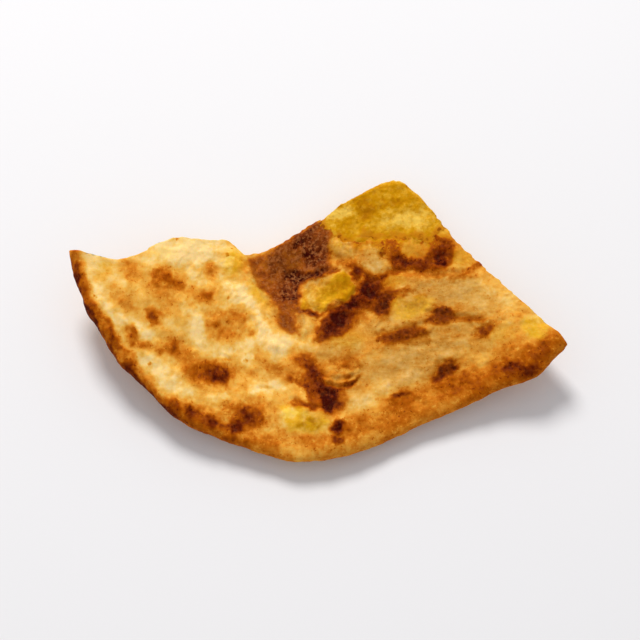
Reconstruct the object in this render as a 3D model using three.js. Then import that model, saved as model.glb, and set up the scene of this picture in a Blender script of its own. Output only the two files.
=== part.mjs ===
// One quarter of an aloo paratha: a flatbread of two thin dough layers, sealed to each other
// along the round rim, with spiced mashed potato between them. The two straight sides and the
// blunt tip are cut or torn, so the potato layer shows there, and the top dough layer is torn
// away just behind the tip. The piece is soft and lies bowed: its belly is flat on the table,
// and the two corners of the rim and the tip stand off it.
//
// Units are millimetres, +Z is up. The origin is the centre of the bounding box in X and Y, at
// the height of the flat belly. -Y is the side of the baked rim, +Y the side of the tip.

import * as THREE from "three";
import { ParametricGeometry } from "three/addons/geometries/ParametricGeometry.js";
import { mergeGeometries, mergeVertices } from "three/addons/utils/BufferGeometryUtils.js";

// ---- driving sizes -------------------------------------------------------------------------
const THICK = 6.0; // whole thickness where the piece is filled
const RIM_THICK = 4.4; // thickness of the sealed rim
const TIP_THICK = 5.0; // thickness at the blunt tip
const RIM_TAPER = 13; // the filled thickness falls to the rim's over this width
const CUT_PRESS = 0.6; // how much the knife flattened the two cut sides
const CUT_PRESS_WIDTH = 0.06; // over this share of the piece's width, at each side
const TOP_DOUGH = 1.15; // thickness of the upper dough layer
const BOTTOM_DOUGH = 1.25; // thickness of the lower dough layer
const SEAL = 7; // width of the rim that is dough only
const NOSE = 2.5; // how far in the rim's rounded nose reaches
const CLEARANCE = 0.35; // between the dough and the potato
const TEAR = 0.185; // how far down from the tip the top layer is torn off, as a share
const TEAR_LEFT = 0.1, TEAR_RIGHT = 0.055; // how much less at the two cuts
const TEAR_SWAY = 0.012; // and how much that torn line wanders
const BARE_DROP = 0.35; // the bare potato lies this much below the dough's surface

// How far each end of the bowed piece stands off the table, where that lift begins, the
// distance over which it grows, and the power that says how suddenly.
const LIFTS = {
  leftCorner: { height: 14, from: 14, over: 48, power: 1.6 },
  rightCorner: { height: 11, from: 16, over: 46, power: 1.7 },
  tip: { height: 6, from: 8, over: 30, power: 1.5 },
  rim: { height: 3, from: 14, over: 22, power: 1.5 },
};

// Broad swellings and hollows of the thickness, where the potato lies thick or thin:
// centre, half widths, turn in degrees, height.
const SWELLS = [
  { x: -37, y: 4, rx: 17, ry: 12, turn: -8, height: 1.5 }, // left lobe, full of potato
  { x: -17.5, y: 9, rx: 3.0, ry: 11, turn: 30, height: 1.0 }, // fold at the lobe's edge
  { x: -8, y: 11, rx: 7, ry: 6.5, turn: 20, height: -1.6 }, // scorched hollow beside it
  { x: 13, y: 12, rx: 11, ry: 8, turn: 0, height: 0.9 }, // swelling before the torn tip
  { x: 20, y: -8, rx: 26, ry: 8, turn: 22, height: 0.5 }, // long low swelling on the right
  { x: 2, y: -20, rx: 8, ry: 6, turn: 0, height: -0.7 }, // dip above the rim
];

// ---- the outline, seen from above ----------------------------------------------------------
const curve = (...knots) => new THREE.SplineCurve(knots.map(([x, y]) => new THREE.Vector2(x, y)));
const LEFT_CORNER = [-61.6, 14.0];
const RIGHT_CORNER = [61.8, -9.4];
const TIP_LEFT = [4.9, 30.3];
const TIP_RIGHT = [30.2, 28.3];
const tipEdge = curve(TIP_LEFT, [20.2, 36.9], TIP_RIGHT);
const leftCut = curve(TIP_LEFT, [-8.8, 20.9], [-19.3, 17.0], [-24.8, 20.9], [-36.5, 20.0],
  [-50.4, 13.1], LEFT_CORNER);
const rightCut = curve(TIP_RIGHT, [33.8, 22.8], [39.4, 15.6], [49.0, 5.0], RIGHT_CORNER);
const rimEdge = curve(LEFT_CORNER, [-58.0, -1.8], [-43.2, -20.6], [-29.0, -30.4], [-2.4, -36.9],
  [22.0, -28.6], [44.0, -19.3], [55.0, -15.6], RIGHT_CORNER);

// ---- helpers -------------------------------------------------------------------------------
const clamp01 = (v) => Math.min(1, Math.max(0, v));
const lerp = (a, b, k) => a + (b - a) * k;
const ease = (v) => { const k = clamp01(v); return k * k * (3 - 2 * k); };
const lift = (part, distance) => part.height * Math.pow(clamp01((distance - part.from) / part.over), part.power);

// A point of the outline's inside. s runs from the tip (0) to the rim (1), and t from the left
// cut (0) to the right cut (1): a Coons patch over the four edges.
const edgePoint = (edge, k) => edge.getPointAt(clamp01(k));
function plan(s, t) {
  const tip = edgePoint(tipEdge, t), rim = edgePoint(rimEdge, t);
  const left = edgePoint(leftCut, s), right = edgePoint(rightCut, s);
  const blend = (axis, i) =>
    (1 - s) * tip[axis] + s * rim[axis] + (1 - t) * left[axis] + t * right[axis] -
    ((1 - s) * (1 - t) * TIP_LEFT[i] + (1 - s) * t * TIP_RIGHT[i] +
      s * (1 - t) * LEFT_CORNER[i] + s * t * RIGHT_CORNER[i]);
  return new THREE.Vector2(blend("x", 0), blend("y", 1));
}
// The length of the piece from tip to rim at t, along its middle or its sides.
const reach = (t) => edgePoint(tipEdge, t).distanceTo(edgePoint(rimEdge, t));

// Height of the underside above the table.
function underside(x, y) {
  return lift(LIFTS.leftCorner, -x) + lift(LIFTS.rightCorner, x) + lift(LIFTS.tip, y) + lift(LIFTS.rim, -y);
}

// Thickness of the whole piece at (s, t), which lies at (x, y).
function thickness(s, t, x, y) {
  const fromRim = (1 - s) * reach(t);
  const body = lerp(RIM_THICK, THICK, ease((fromRim - NOSE) / RIM_TAPER));
  const toTip = lerp(TIP_THICK, body, ease(s / 0.2));
  let swell = 0;
  for (const b of SWELLS) {
    const a = THREE.MathUtils.degToRad(b.turn), dx = x - b.x, dy = y - b.y;
    const u = (dx * Math.cos(a) + dy * Math.sin(a)) / b.rx;
    const v = (-dx * Math.sin(a) + dy * Math.cos(a)) / b.ry;
    swell += b.height * Math.exp(-(u * u + v * v));
  }
  const inner = ease((fromRim - NOSE) / 6); // the rim keeps its own thickness
  const press = CUT_PRESS * (2 - ease(t / CUT_PRESS_WIDTH) - ease((1 - t) / CUT_PRESS_WIDTH));
  return toTip + swell * inner - press * inner;
}

const noseShare = (t) => NOSE / reach(t); // the rounded nose, as a share of s
const tearLine = (t) => TEAR - TEAR_LEFT * (1 - ease(t / 0.45)) - TEAR_RIGHT * ease((t - 0.8) / 0.2) +
  TEAR_SWAY * (0.6 * Math.sin(11 * t - 0.6) + 0.4 * Math.sin(27 * t - 2));

// A closed surface round a solid that is a bent block. place(a, b, c, target) maps the unit cube
// to it, and a, b and c are right-handed.
function blockGeometry(place, na, nb, nc) {
  const face = (f, nu, nv) => {
    const g = new ParametricGeometry(f, nu, nv);
    g.deleteAttribute("normal");
    g.deleteAttribute("uv");
    return g;
  };
  const faces = [
    face((u, v, p) => place(u, v, 1, p), na, nb),
    face((u, v, p) => place(v, u, 0, p), nb, na),
    face((u, v, p) => place(1, u, v, p), nb, nc),
    face((u, v, p) => place(0, v, u, p), nc, nb),
    face((u, v, p) => place(v, 1, u, p), nc, na),
    face((u, v, p) => place(u, 0, v, p), na, nc),
  ];
  return mergeVertices(mergeGeometries(faces), 1e-4);
}

// ---- the dough -----------------------------------------------------------------------------
// The dough is one skin, C-shaped in section: c runs from the torn edge of the upper layer
// outwards to the rim, round its nose, and back along the lower layer to the tip. w runs from
// the skin's inside (0) to its outside (1).
const C_NOSE = 0.46, C_UNDER = 0.6; // shares of c at which the nose begins and ends
function doughPoint(t, c, w, target) {
  const tear = tearLine(t);
  const at = (s, level) => { // level: height as a function of the thickness there
    const p = plan(s, t);
    return new THREE.Vector3(p.x, p.y, underside(p.x, p.y) + level(thickness(s, t, p.x, p.y)));
  };
  const outerEnd = 1 - noseShare(t);
  const innerEnd = 1 - SEAL / reach(t);
  // A rounded end, from the upper level (turn 0) to the lower level (turn 1).
  const nose = (s, endS, half, middle, turn) => {
    const from = plan(s, t), to = plan(endS, t);
    const phi = Math.PI * (0.5 - turn);
    const p = from.clone().lerp(to, Math.cos(phi));
    const h = thickness(s, t, from.x, from.y);
    return new THREE.Vector3(p.x, p.y, underside(p.x, p.y) + middle(h) + half(h) * Math.sin(phi));
  };
  let outer, inner;
  if (c <= C_NOSE) {
    const k = c / C_NOSE;
    outer = at(lerp(tear, outerEnd, k), (h) => h);
    inner = at(lerp(tear, innerEnd, k), (h) => h - TOP_DOUGH);
  } else if (c < C_UNDER) {
    const k = (c - C_NOSE) / (C_UNDER - C_NOSE);
    outer = nose(outerEnd, 1, (h) => h / 2, (h) => h / 2, k);
    inner = nose(innerEnd, innerEnd + 1.2 / reach(t), (h) => (h - TOP_DOUGH - BOTTOM_DOUGH) / 2,
      (h) => (h - TOP_DOUGH + BOTTOM_DOUGH) / 2, k);
  } else {
    const k = (c - C_UNDER) / (1 - C_UNDER);
    outer = at(lerp(outerEnd, 0, k), () => 0);
    inner = at(lerp(innerEnd, 0, k), () => BOTTOM_DOUGH);
  }
  target.copy(inner).lerp(outer, w);
}

// ---- the potato filling --------------------------------------------------------------------
// It runs from cut to cut and, with k, from the tip to the seal of the rim. h runs from its
// lower face (0) to its upper face (1). The upper face is bare as far as the row BARE_ROW, then
// steps down in one row to pass under the torn edge of the dough.
const FILLING_ROWS = 20, BARE_ROW = 5;
function fillingPoint(t, k, h, target) {
  const row = k * FILLING_ROWS, tear = tearLine(t), end = 1 - (SEAL + CLEARANCE) / reach(t);
  const bareEnd = tear - 0.034, coveredStart = tear - 0.014;
  const covered = clamp01(row - BARE_ROW);
  const s = row <= BARE_ROW ? lerp(0, bareEnd, row / BARE_ROW)
    : row <= BARE_ROW + 1 ? lerp(bareEnd, coveredStart, covered)
    : lerp(coveredStart, end, (row - BARE_ROW - 1) / (FILLING_ROWS - BARE_ROW - 1));
  const p = plan(s, t);
  const base = underside(p.x, p.y), all = thickness(s, t, p.x, p.y);
  const under = base + BOTTOM_DOUGH + CLEARANCE;
  const over = base + all - lerp(BARE_DROP, TOP_DOUGH + CLEARANCE, covered);
  target.set(p.x, p.y, lerp(under, over, h));
}

// ---- the object ----------------------------------------------------------------------------
const doughMaterial = new THREE.MeshStandardMaterial({ name: "dough", color: new THREE.Color(0.86, 0.6, 0.27), roughness: 0.6, metalness: 0 });
const fillingMaterial = new THREE.MeshStandardMaterial({ name: "filling", color: new THREE.Color(0.83, 0.6, 0.1), roughness: 0.55, metalness: 0 });

const dough = new THREE.Mesh(blockGeometry((c, t, w, p) => doughPoint(t, c, w, p), 30, 34, 1), doughMaterial);
dough.name = "dough";
const filling = new THREE.Mesh(blockGeometry((k, t, h, p) => fillingPoint(t, k, h, p), FILLING_ROWS, 34, 1), fillingMaterial);
filling.name = "filling";

const paratha = new THREE.Group();
paratha.name = "paratha_quarter";
paratha.add(dough, filling);

export default paratha;
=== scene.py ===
import math

import bmesh
import bpy
import numpy as np
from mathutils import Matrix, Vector


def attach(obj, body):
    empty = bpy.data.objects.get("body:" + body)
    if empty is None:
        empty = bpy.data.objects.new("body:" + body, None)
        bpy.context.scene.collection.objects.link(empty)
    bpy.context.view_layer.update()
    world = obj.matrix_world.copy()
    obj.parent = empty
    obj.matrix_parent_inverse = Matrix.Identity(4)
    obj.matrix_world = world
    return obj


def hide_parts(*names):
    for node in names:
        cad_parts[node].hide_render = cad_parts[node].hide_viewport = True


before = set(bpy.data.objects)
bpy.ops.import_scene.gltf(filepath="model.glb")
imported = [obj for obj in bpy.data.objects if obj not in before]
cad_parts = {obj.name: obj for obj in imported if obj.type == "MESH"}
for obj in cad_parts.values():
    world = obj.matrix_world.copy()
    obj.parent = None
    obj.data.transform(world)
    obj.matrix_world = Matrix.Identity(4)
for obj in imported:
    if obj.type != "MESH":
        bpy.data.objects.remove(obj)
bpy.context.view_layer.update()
MM = 0.001

# One quarter of an aloo paratha. All lengths below are in millimetres, in the frame of the CAD
# model: +X to the right end of the rim, +Y to the torn tip, +Z up.

# ---- sizes shared with the CAD solids ------------------------------------------------------
THICK, RIM_THICK, TIP_THICK, RIM_TAPER = 6.0, 4.4, 5.0, 13.0
CUT_PRESS, CUT_PRESS_WIDTH = 0.6, 0.06
TOP_DOUGH, BOTTOM_DOUGH, SEAL, NOSE = 1.15, 1.25, 7.0, 2.5
TEAR, TEAR_LEFT, TEAR_RIGHT, TEAR_SWAY = 0.185, 0.1, 0.055, 0.012
BARE_DROP = 0.35
SWELLS = [(-37, 4, 17, 12, -8, 1.5), (-17.5, 9, 3.0, 11, 30, 1.0), (-8, 11, 7, 6.5, 20, -1.6),
          (13, 12, 11, 8, 0, 0.9), (20, -8, 26, 8, 22, 0.5), (2, -20, 8, 6, 0, -0.7)]
LEFT_CORNER, RIGHT_CORNER = (-61.6, 14.0), (61.8, -9.4)
TIP_LEFT, TIP_RIGHT = (4.9, 30.3), (30.2, 28.3)
TIP_EDGE = [TIP_LEFT, (20.2, 36.9), TIP_RIGHT]
LEFT_CUT = [TIP_LEFT, (-8.8, 20.9), (-19.3, 17.0), (-24.8, 20.9), (-36.5, 20.0), (-50.4, 13.1), LEFT_CORNER]
RIGHT_CUT = [TIP_RIGHT, (33.8, 22.8), (39.4, 15.6), (49.0, 5.0), RIGHT_CORNER]
RIM_EDGE = [LEFT_CORNER, (-58.0, -1.8), (-43.2, -20.6), (-29.0, -30.4), (-2.4, -36.9),
            (22.0, -28.6), (44.0, -19.3), (55.0, -15.6), RIGHT_CORNER]

# ---- the marks of the griddle, seen from above ---------------------------------------------
# name, centre x and y, half lengths, turn in degrees, strength
TOAST = [
    ("lobe_top", -39.2, 8.7, 3.3, 2.2, -19, 0.62), ("lobe_top_right", -36.1, 7.1, 2.9, 2.0, -24, 0.60),
    ("lobe_mid", -41.7, -0.9, 2.4, 1.9, -85, 0.72), ("lobe_glow", -37.9, 5.1, 7.8, 4.5, -12, 0.26),
    ("lobe_right", -28.6, 4.8, 2.4, 2.0, -3, 0.52), ("lobe_right_up", -28.0, 11.7, 1.9, 1.7, -83, 0.46),
    ("lobe_bridge", -32.3, 4.8, 2.6, 1.4, 0, 0.38), ("lobe_low_right", -25.7, -1.4, 3.3, 2.4, -88, 0.44),
    ("lobe_low_right_b", -24.5, -5.0, 2.6, 2.2, -2, 0.34), ("lobe_left_streak", -47.2, -6.6, 3.1, 1.4, -65, 0.60),
    ("lobe_left_tail", -43.6, -8.8, 2.4, 1.1, -11, 0.36), ("lobe_low", -36.8, -8.7, 2.5, 2.3, -8, 0.56),
    ("lobe_low_tail", -40.4, -10.2, 2.2, 1.1, 11, 0.38), ("lobe_low_b", -33.2, -11.2, 2.1, 2.0, -79, 0.42),
    ("lobe_outer_glow", -48.2, 2.7, 3.2, 2.4, 78, 0.26), ("lobe_upper_glow", -48.1, 10.6, 4.1, 1.7, -17, 0.26),
    ("south_spot", -25.5, -15.8, 2.8, 2.6, -4, 0.80), ("south_halo", -25.9, -15.8, 5.2, 3.2, -1, 0.40),
    ("south_spot_left", -29.1, -16.8, 1.9, 1.5, -2, 0.60), ("south_left", -32.3, -15.0, 3.4, 2.4, -87, 0.42),
    ("edge_a", -47.9, -14.5, 1.9, 1.4, -35, 0.34), ("edge_b", -36.5, -24.4, 2.1, 1.8, -39, 0.60),
    ("edge_c", -31.3, -27.2, 3.4, 2.1, -22, 0.72), ("edge_d", -27.3, -28.5, 2.0, 1.7, -38, 0.88),
    ("edge_e", -23.7, -29.5, 2.8, 1.9, -1, 0.70), ("edge_f", -20.5, -29.0, 2.0, 1.8, -85, 0.94),
    ("edge_g", -16.9, -26.8, 3.6, 2.9, 11, 0.64), ("edge_h", -14.9, -28.5, 2.0, 1.9, -7, 0.52),
    ("edge_glow", -22.2, -24.1, 3.0, 1.5, 0, 0.42), ("edge_i", -43.0, -18.0, 2.7, 1.2, -37, 0.34),
    ("ridge_spot", -20.5, 0.4, 2.9, 2.4, -2, 0.47), ("ridge_dot", -17.6, -3.6, 2.2, 1.1, -89, 0.42),
    ("foot_dot", -9.3, -31.3, 1.7, 1.4, -89, 0.44), ("burnt_edge", -2.9, 21.5, 6.7, 3.8, 31, 0.88),
    ("burnt_left", -14.9, 13.5, 4.8, 3.8, -33, 0.50), ("burnt_mid", -6.7, 16.4, 4.6, 3.1, 24, 0.56),
    ("burnt_dark", -2.5, 20.2, 3.4, 2.7, -84, 0.78), ("burnt_core", -6.7, 12.1, 3.5, 2.2, 0, 1.00),
    ("burnt_low", -8.3, 7.1, 3.5, 2.3, -90, 0.86), ("burnt_right", -0.1, 17.9, 4.4, 3.7, -79, 0.85),
    ("burnt_tail", -8.7, -0.3, 3.9, 2.6, 74, 0.60), ("burnt_foot", -6.2, -3.5, 1.8, 1.3, 0, 0.50),
    ("lump_brow", -0.1, 12.5, 4.6, 1.2, 15, 0.90), ("lump_brow_b", 3.4, 12.4, 2.3, 1.1, 16, 0.74),
    ("lump_chin_b", 2.0, 2.4, 2.5, 1.0, 39, 0.74), ("char_a", 5.2, 0.3, 3.5, 2.6, 13, 1.00),
    ("char_b", 2.4, -3.0, 3.6, 2.2, 54, 0.68), ("char_c", 8.9, 4.3, 3.6, 2.3, 39, 0.88),
    ("char_d", 13.1, 7.7, 4.1, 2.9, 73, 0.90), ("char_e", 17.1, 3.9, 3.8, 2.4, 72, 0.76),
    ("bridge_a", 11.5, 12.3, 4.0, 1.8, -28, 0.74), ("bridge_b", 7.4, 14.9, 4.2, 1.9, -28, 0.50),
    ("lump_chin", -1.7, 1.7, 3.7, 1.1, -13, 0.82), ("collar_a", 21.8, 15.0, 3.7, 2.0, 0, 0.90),
    ("collar_b", 31.7, 17.0, 3.7, 3.4, 58, 0.80), ("collar_c", 31.2, 14.8, 2.1, 2.1, 73, 0.98),
    ("collar_d", 27.1, 14.3, 2.9, 2.1, 1, 0.70), ("collar_e", 18.9, 19.3, 2.7, 2.2, 87, 0.64),
    ("torn_a", 21.9, 21.3, 2.1, 1.2, 0, 0.66), ("bridge_c", 9.8, 11.6, 2.1, 1.8, -28, 0.78),
    ("bridge_d", 16.4, 11.3, 2.1, 1.2, 0, 0.76), ("torn_b", 9.9, 18.9, 2.3, 1.8, -26, 0.42),
    ("torn_c", 17.3, 18.0, 1.8, 0.9, 89, 0.56), ("torn_d", 16.9, 20.1, 0.9, 0.8, 85, 0.80),
    ("torn_e", 27.0, 20.1, 0.8, 0.7, 82, 0.86), ("torn_f", 33.4, 21.3, 1.9, 1.2, 1, 0.40),
    # collar_shadow is painted shade below the collar, not browning.
    ("collar_shadow", 30.0, 11.8, 6.2, 1.7, -4, 0.50), ("cut_streak", 40.9, 12.8, 4.0, 1.1, 34, 0.62),
    ("cut_streak_b", 38.0, 10.6, 4.5, 1.5, 9, 0.50), ("collar_under", 22.2, 12.2, 3.3, 1.3, -11, 0.34),
    ("thin_line", 21.7, 6.6, 3.5, 1.1, 7, 0.60), ("yellow_dot", 25.7, 4.1, 1.0, 0.9, 81, 0.46),
    ("yellow_dot_b", 23.4, 2.7, 0.8, 0.7, 87, 0.36), ("east_a", 31.5, 0.6, 3.5, 2.1, -5, 0.64),
    ("east_a_left", 29.2, -1.2, 2.7, 1.1, 15, 0.46), ("east_a_tail", 38.5, -1.7, 4.9, 1.0, -4, 0.50),
    ("east_b", 21.9, -4.6, 6.9, 2.4, 10, 0.55), ("east_b_head", 17.0, -5.2, 2.2, 1.9, 2, 0.60),
    ("east_b_halo", 23.9, -6.5, 3.7, 1.3, 11, 0.34), ("east_c", 41.9, -5.4, 3.7, 2.0, 28, 0.58),
    ("east_c_tail", 36.4, -5.4, 3.3, 1.3, 9, 0.32), ("east_d", 50.0, -1.7, 3.1, 1.3, 11, 0.30),
    ("south_east_a", 31.8, -15.1, 4.2, 1.7, 35, 0.80), ("south_east_b", 35.3, -17.7, 2.0, 1.7, 4, 0.50),
    ("south_east_dot", 37.2, -16.2, 1.1, 1.0, 11, 0.72), ("south_east_c", 30.1, -20.4, 3.2, 2.0, 88, 0.50),
    ("south_east_d", 20.4, -21.1, 3.5, 1.2, 21, 0.60), ("corner_a", 48.5, -15.0, 2.3, 2.1, 10, 0.92),
    ("corner_b", 52.7, -16.2, 3.8, 1.9, 1, 0.74), ("corner_c", 55.2, -12.9, 3.0, 2.9, 46, 0.52),
    ("corner_d", 58.8, -9.1, 3.2, 2.8, 54, 0.44), ("corner_glow", 48.2, -10.9, 2.2, 2.1, 31, 0.28),
    ("east_faint", 35.5, -9.1, 2.2, 1.1, 6, 0.25), ("well_a", -3.3, -11.7, 3.9, 2.4, -28, 0.68),
    ("well_b", -5.8, -15.9, 4.3, 2.4, -11, 0.58), ("well_wing", -2.9, -16.8, 3.3, 2.5, -24, 0.60),
    ("well_c", -1.1, -15.5, 3.5, 2.6, 90, 0.88), ("well_d", 0.7, -18.9, 3.3, 2.3, -34, 0.84),
    ("well_e", 2.7, -21.9, 4.2, 3.5, 82, 0.98), ("well_streak", 7.6, -17.4, 3.0, 0.8, 26, 0.72),
    ("well_streak_b", 7.0, -15.9, 2.0, 0.5, 26, 0.55), ("well_foot", -4.9, -23.8, 3.2, 1.2, -21, 0.56),
    ("well_foot_b", -1.7, -24.3, 2.0, 1.1, 0, 0.70), ("mid_faint", -11.0, -13.9, 5.1, 1.3, -5, 0.33),
    ("mid_faint_b", -14.3, -9.5, 3.0, 2.0, -89, 0.24), ("foot_a", 4.7, -29.6, 2.2, 2.1, 2, 0.92),
    ("foot_b", 4.3, -33.0, 2.4, 1.7, 0, 0.80), ("tan_smudge", 8.0, -10.9, 3.4, 3.0, 88, 0.25),
    ("foot_c", -0.1, -35.2, 2.2, 1.2, 0, 0.42), ("hair_a", -23.6, -10.8, 1.4, 0.4, 0, 0.42),
    ("hair_b", -13.4, -19.0, 1.8, 0.5, -5, 0.28), ("burnt_fill", -6.7, 17.2, 9.6, 5.3, 28, 0.54),
    ("burnt_fill_low", -9.1, 8.5, 5.7, 3.5, 80, 0.58), ("burnt_fill_left", -14.1, 13.2, 5.0, 3.7, -25, 0.44),
    ("burnt_fill_foot", -8.2, -1.2, 3.5, 3.1, -1, 0.54), ("burnt_top", 0.4, 22.8, 3.3, 3.1, 24, 0.86),
    ("char_fill", 6.9, 0.9, 8.0, 3.2, 35, 0.80), ("char_fill_b", 13.5, 6.9, 5.7, 3.5, 76, 0.74),
    ("char_fill_c", 3.2, -2.5, 4.7, 3.1, 50, 0.66), ("corner_fill", 50.8, -16.4, 6.0, 2.5, 3, 0.56),
    ("corner_fill_b", 56.4, -11.3, 3.8, 3.2, 51, 0.46), ("edge_fill", -29.3, -27.9, 7.3, 2.5, -28, 0.62),
    ("edge_fill_b", -17.3, -27.2, 4.6, 3.8, -1, 0.57), ("well_fill", 1.1, -19.3, 4.7, 2.8, 76, 0.52),
    ("well_fill_b", -2.9, -14.7, 3.3, 2.5, -24, 0.42), ("band_fill", 38.1, -18.7, 10.2, 2.9, 19, 0.46),
    ("band_fill_b", 32.1, -19.6, 4.9, 3.8, 25, 0.46), ("band_fill_c", 21.2, -24.8, 7.3, 3.3, 19, 0.37),
    ("band_fill_d", 9.9, -29.7, 6.4, 3.7, 13, 0.32), ("foot_fill", -2.9, -33.5, 8.0, 2.5, 0, 0.34),
    ("band_top", 46.2, -10.7, 4.9, 2.5, 22, 0.27), ("dimple_a", 4.6, -7.2, 1.0, 0.5, 17, 0.50),
    ("lump_left_dark", -6.1, 5.5, 3.3, 1.6, 79, 0.90), ("tear_dot_a", 10.1, 20.5, 0.8, 0.7, 87, 0.72),
    ("tear_dot_b", 23.1, 22.4, 1.3, 0.8, -11, 0.66), ("tear_dot_c", 30.1, 21.2, 1.4, 1.1, 87, 0.72),
    ("ring_a", 17.9, 17.4, 2.9, 0.8, 89, 0.56), ("ring_b", 11.5, 20.5, 1.7, 0.8, 11, 0.52),
    ("tear_glow", 14.4, 21.8, 3.7, 1.1, -4, 0.44), ("tear_glow_b", 7.0, 22.3, 2.1, 1.5, 25, 0.46),
    ("east_dot_a", 25.9, 5.2, 1.2, 0.9, -11, 0.50), ("east_rim", 20.4, 6.3, 3.3, 1.2, -13, 0.56),
    ("east_rim_b", 26.1, 4.7, 1.4, 1.1, 2, 0.46),
]
AMBER = [
    ("lobe", -39.5, 4.4, 6.6, 6.4, -51, 0.34), ("lobe_up", -48.5, 11.1, 5.3, 3.1, -10, 0.28),
    ("lobe_left", -51.0, 3.4, 3.6, 3.0, -5, 0.26), ("lobe_east", -24.1, -3.2, 6.1, 5.7, -83, 0.34),
    ("lobe_east_b", -27.8, 5.3, 4.5, 3.5, -2, 0.30), ("lobe_low", -36.0, -8.5, 5.3, 3.4, -12, 0.36),
    ("lobe_low_b", -31.5, -13.7, 5.1, 3.6, -88, 0.40), ("spot_halo", -25.5, -15.8, 8.1, 4.3, 0, 0.42),
    ("streak_halo", -46.4, -7.4, 4.3, 2.4, -61, 0.36), ("rim_in", -52.3, -8.5, 6.2, 2.1, 66, 0.28),
    ("rim_in_b", -45.0, -16.0, 5.8, 2.0, -39, 0.28), ("edge", -34.1, -25.1, 8.2, 2.5, -33, 0.40),
    ("edge_b", -17.7, -24.8, 6.8, 5.0, -1, 0.44), ("edge_c", -23.0, -23.6, 3.6, 2.1, 0, 0.26),
    ("mid", -14.7, -13.0, 4.7, 3.6, -89, 0.26), ("mid_b", -8.2, -14.6, 6.5, 2.6, -9, 0.32),
    ("foot", -10.1, -32.1, 5.2, 2.5, -9, 0.26), ("foot_b", -1.3, -32.7, 7.2, 3.3, 0, 0.30),
    ("well", -2.1, -15.1, 6.2, 5.9, -46, 0.38), ("well_b", 2.7, -21.0, 5.9, 4.8, 89, 0.40),
    ("well_east", 8.0, -11.3, 4.1, 3.9, 4, 0.36), ("well_east_b", 8.4, -18.5, 3.7, 3.3, 38, 0.26),
    ("band", 10.7, -28.4, 7.2, 3.8, 13, 0.38), ("band_b", 24.0, -24.0, 8.9, 4.6, 20, 0.44),
    ("band_c", 38.1, -18.7, 10.6, 4.2, 19, 0.48), ("band_d", 30.2, -15.5, 5.8, 3.3, 33, 0.42),
    ("corner", 48.6, -11.4, 5.7, 3.8, 18, 0.42), ("corner_b", 44.7, -8.1, 5.7, 3.4, 12, 0.16),
    ("corner_c", 56.5, -10.5, 5.1, 4.1, 46, 0.46), ("east", 35.2, -5.3, 7.3, 2.6, 9, 0.28),
    ("east_b", 23.1, -4.5, 8.2, 3.0, 9, 0.38), ("east_c", 31.3, 0.1, 6.9, 3.5, -5, 0.34),
    ("east_d", 44.4, -2.8, 6.5, 2.1, 9, 0.24), ("char", 8.1, 1.7, 9.2, 5.5, 37, 0.42),
    ("char_b", 15.1, 6.1, 7.5, 5.3, 77, 0.42), ("bridge", 12.7, 13.4, 6.6, 4.0, -23, 0.40),
    ("collar", 25.5, 15.3, 7.8, 4.4, 4, 0.46), ("collar_b", 31.7, 16.6, 4.6, 4.4, 27, 0.44),
    ("torn", 24.8, 20.9, 7.4, 2.2, 0, 0.28), ("torn_b", 8.2, 18.2, 5.8, 3.1, -17, 0.36),
    ("torn_c", 16.9, 19.6, 3.7, 3.1, 2, 0.34), ("tail", -7.8, -0.4, 5.2, 4.9, -88, 0.38),
    ("west_edge", -17.4, 13.7, 6.2, 3.3, 82, 0.34), ("cut_streak", 40.9, 12.1, 5.9, 2.6, 32, 0.30),
    ("spot", 36.9, -16.6, 3.2, 2.6, 3, 0.40), ("dot", 25.7, 4.3, 2.5, 2.2, 4, 0.22),
    ("cut_low", 48.8, -2.0, 4.1, 2.2, 6, 0.26), ("mid_e", 19.0, -8.1, 7.3, 1.7, 13, 0.20),
    ("ridge_e", -17.2, -2.0, 3.9, 1.6, -89, 0.26), ("low_mid", -19.8, -19.8, 3.2, 2.1, -1, 0.24),
    ("crest", -28.4, 11.6, 2.9, 2.7, -6, 0.26), ("fold", -13.6, 4.1, 3.9, 1.7, -53, 0.20),
]
YELLOW = [
    ("lobe_side", -21.5, 14.9, 4.4, 2.9, 75, 0.75), ("lobe_slope", -15.2, 6.1, 4.5, 1.7, -52, 0.60),
    ("lump", 2.4, 7.6, 7.1, 4.4, 23, 1.00), ("foot", -4.5, -27.3, 5.0, 2.3, -16, 0.95),
    ("corner", 54.7, -5.2, 3.2, 2.5, -35, 1.00), ("east", 22.4, 4.5, 3.9, 3.5, 4, 0.80),
    ("collar", 23.9, 18.5, 2.9, 2.7, 6, 0.50), ("cut", 36.9, 15.4, 3.5, 3.1, 6, 0.45),
    ("middle", 7.2, -6.1, 5.3, 2.6, 9, 0.40), ("lobe_top", -39.8, 16.0, 3.7, 1.8, 11, 0.30),
    ("lobe_left", -54.9, 10.7, 2.9, 2.8, -46, 0.35), ("torn", 32.5, 21.5, 2.9, 1.8, 1, 0.60),
    ("east_top", 19.3, 9.9, 3.3, 1.8, 0, 0.35), ("corner_b", 46.3, -6.3, 4.9, 2.6, 12, 0.25),
]
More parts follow.
